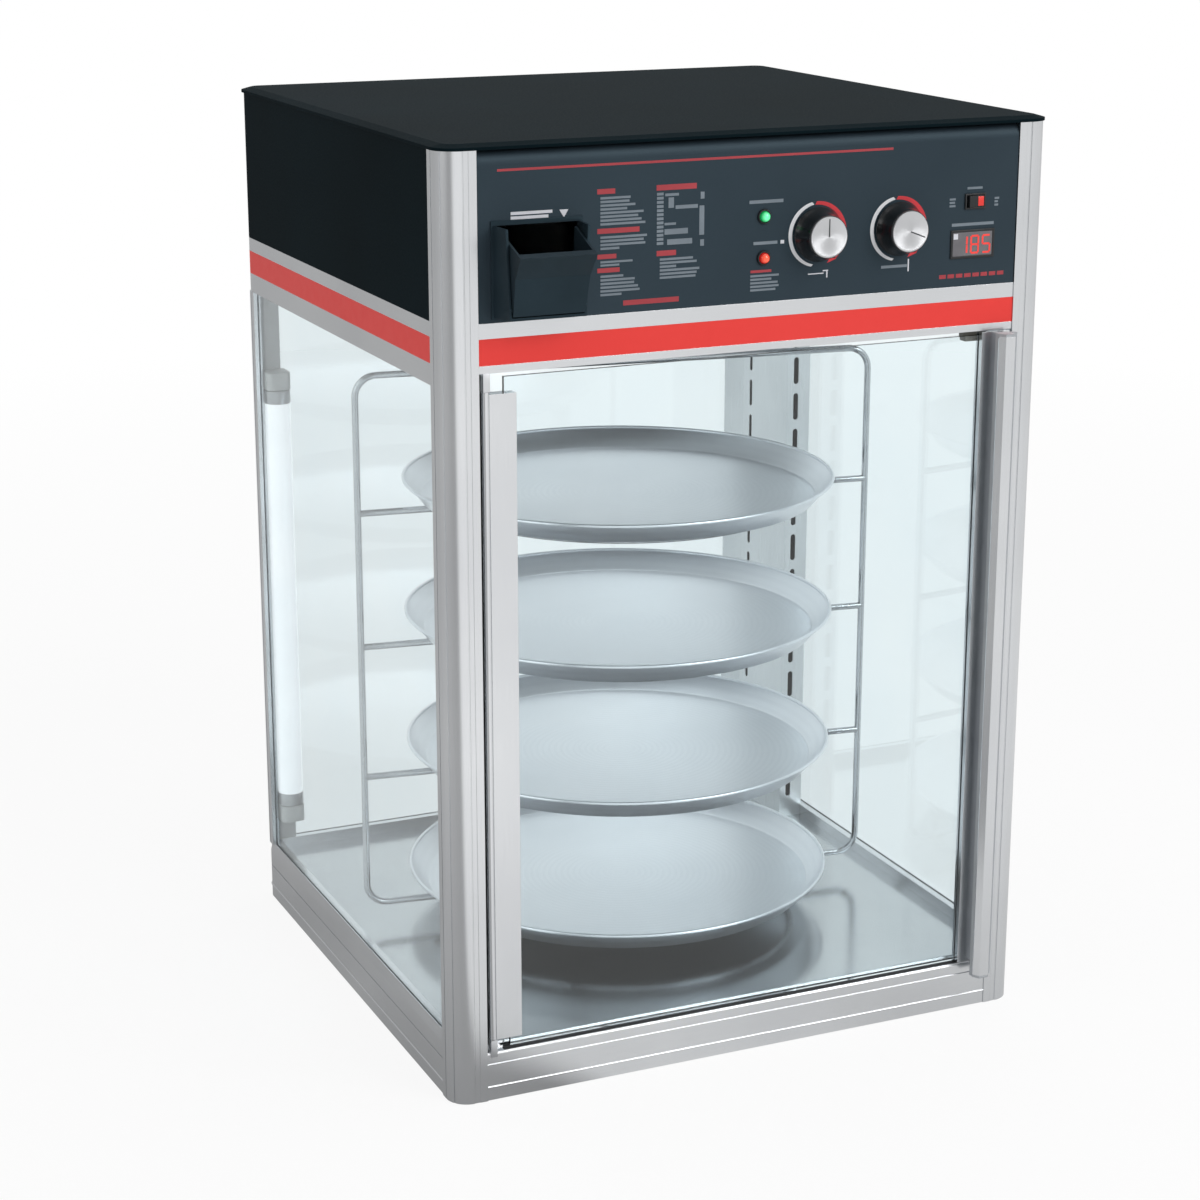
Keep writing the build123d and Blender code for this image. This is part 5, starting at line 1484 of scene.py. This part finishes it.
@dataclass
class Studio:
    """Camera, lamps, floor and surroundings. None of it is part of the cabinet."""

    eye: Point = (-1042.9, -2287.4, 1086.4)
    heading: float = 24.014
    dip: float = 16.181
    focal_px: float = 2697.2
    frame_px: float = 1200.0
    sensor: float = 36.0
    floor_reach: float = 9000.0
    floor_z: float = -0.2
    card_share: float = 0.85
    fill_levels: tuple[float, float] = (0.36, 0.68)
    # Spans of distance in metres: how dim the floor's mirror image is near the cabinet, and how
    # white the floor itself shows.
    floor_near: Span = (0.35, 0.95, 0.7, 1.0)
    floor_white: Span = (1.0, 3.2, 0.88, 1.0)
    aim: Point = (0.0, 0.0, 420.0)
    # Each lamp's name, place, the side of its square face and its power in watts.
    lamps: tuple[tuple[str, Point, float, float], ...] = (
        ("key", (1500.0, -2600.0, 2300.0), 1800.0, 42.0),
        ("left", (-2600.0, -900.0, 1500.0), 1600.0, 8.0),
        ("top", (0.0, 300.0, 3000.0), 2200.0, 22.0),
    )
    # Brightness by compass turn in degrees: rear, left (-90), front (0), right (90), rear.
    levels: tuple[tuple[float, float], ...] = (
        (-180.0, 0.56), (-156.0, 0.46), (-120.0, 0.46), (-90.0, 0.52), (-60.0, 0.42), (-34.0, 0.34),
        (-26.0, 1.00), (0.0, 1.00), (12.0, 0.96), (24.0, 0.86), (60.0, 0.80), (90.0, 0.80), (140.0, 0.60),
        (180.0, 0.56),
    )

    def camera(self) -> None:
        """Sets the camera at the photograph's viewing angle."""
        data = bpy.data.cameras.new("camera")
        data.sensor_width = self.sensor
        data.lens = self.sensor * self.focal_px / self.frame_px
        camera = bpy.data.objects.new("camera", data)
        bpy.context.scene.collection.objects.link(camera)
        camera.location = Vector(self.eye) * MM
        camera.rotation_euler = (math.radians(90 - self.dip), 0, math.radians(-self.heading))
        bpy.context.scene.camera = camera

    def floor(self) -> None:
        """Lays the plain pale floor, which keeps the cabinet's shadow."""
        grid = {"x_subdivisions": 8, "y_subdivisions": 8, "size": 2 * self.floor_reach * MM}
        floor = fresh(bpy.ops.mesh.primitive_grid_add, **grid)
        floor.name = "studio_floor"
        floor.location.z = self.floor_z * MM
        settle(floor)
        material, graph = new_material("pale_floor")
        place = graph.place()
        away = graph.add("VectorMath", {0: place}, operation="LENGTH").outputs["Value"]
        diffuse = graph.add("BsdfDiffuse", {"Color": linear("f2f2f2")})
        path = graph.add("LightPath")
        dimmed = graph.spread(away, self.floor_near)
        card = graph.add("Emission", {"Color": self.level_around(graph, place), "Strength": dimmed})
        mirrored = graph.calc("MULTIPLY", path.outputs["Is Glossy Ray"], self.card_share)
        lit = graph.mix(mirrored, diffuse, card)
        white = graph.add("Emission", {"Color": (1, 1, 1, 1), "Strength": 1.0})
        share = graph.calc("MULTIPLY", self.seen(graph, path), graph.spread(away, self.floor_white))
        graph.show(graph.mix(share, lit, white))
        floor.data.materials.append(material)

    def seen(self, graph: Graph, path: Node) -> Socket:
        """Whether a ray comes from the camera, straight or through glass."""
        return graph.calc("MAXIMUM", path.outputs["Is Camera Ray"], path.outputs["Is Transmission Ray"])

    def level_around(self, graph: Graph, way: Socket) -> Socket:
        """How bright the studio is in each direction, which metal and glass show.

        Args:
            graph: The graph that gets the nodes.
            way: The direction from the cabinet, as an output socket.

        Returns:
            The level as a grey colour.
        """
        parts = graph.add("SeparateXYZ", {0: way})
        front = graph.calc("MULTIPLY", parts.outputs["Y"], -1.0)
        turn = graph.calc("ARCTAN2", parts.outputs["X"], front)
        ramp = graph.add("ValToRGB", {"Fac": graph.spread(turn, (-math.pi, math.pi, 0.0, 1.0))})
        stops = ramp.color_ramp.elements
        for degrees, level in self.levels[1:-1]:
            stops.new(degrees / 360 + 0.5)
        for stop, (degrees, level) in zip(stops, self.levels):
            stop.color = (level, level, level, 1.0)
        return ramp.outputs[0]

    def world(self) -> None:
        """Surrounds the cabinet with white, and with bright and dim sides for metal to show."""
        world = bpy.data.worlds.new("studio")
        graph = Graph(world, "OutputWorld")
        way = graph.add("TexCoord").outputs["Generated"]
        across = graph.add("SeparateXYZ", {0: way}).outputs["X"]
        path = graph.add("LightPath")
        fill = graph.spread(across, (-0.9, 0.9, *self.fill_levels))
        soft = graph.add("Background", {"Color": (1, 1, 1, 1), "Strength": fill})
        glossy = graph.add("Background", {"Color": self.level_around(graph, way), "Strength": 1.0})
        white = graph.add("Background", {"Color": (1, 1, 1, 1), "Strength": 1.0})
        shone = graph.mix(path.outputs["Is Glossy Ray"], soft, glossy)
        graph.show(graph.mix(self.seen(graph, path), shone, white))
        bpy.context.scene.world = world

    def lamp(self, name: str, place: Point, size: float, power: float) -> None:
        """Hangs a soft lamp that points at the cabinet's middle.

        Args:
            name: The lamp's name.
            place: Where it hangs, in millimetres.
            size: The side of its square face.
            power: Its power in watts.
        """
        data = bpy.data.lights.new(name, "AREA")
        data.size = size * MM
        data.energy = power
        lamp = bpy.data.objects.new(name, data)
        lamp.location = Vector(place) * MM
        lamp.rotation_euler = (Vector(self.aim) - Vector(place)).to_track_quat("-Z", "Y").to_euler()
        bpy.context.scene.collection.objects.link(lamp)

    def build(self) -> None:
        """Sets up the whole studio."""
        self.camera()
        self.floor()
        self.world()
        for lamp in self.lamps:
            self.lamp(*lamp)
        bpy.context.scene.view_settings.view_transform = "Standard"
        log.info("studio ready")


def main() -> None:
    """Builds the looks of the cabinet, class by class."""
    logging.basicConfig(level=logging.INFO, format="%(name)s: %(message)s")
    for thing in list(bpy.data.objects):
        bpy.data.objects.remove(thing, do_unlink=True)
    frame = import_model()
    Studio().build()
    cabinet = Cabinet(frame)
    parts = (
        FrameAndGlass(),
        Housing(),
        ControlPanel(),
        Dial("temperature", "temperature_knob", "temperature_dial", 56.5, 0.0),
        Dial("humidity", "humidity_knob", "humidity_dial", 135.5, 111.0),
        WaterFunnel(),
        Door(),
        Rack(),
        Lamp(),
        Workings(),
    )
    for part in parts:
        part.build(cabinet)
        log.info("%s is done", type(part).__name__)


if __name__ == "__main__":
    main()
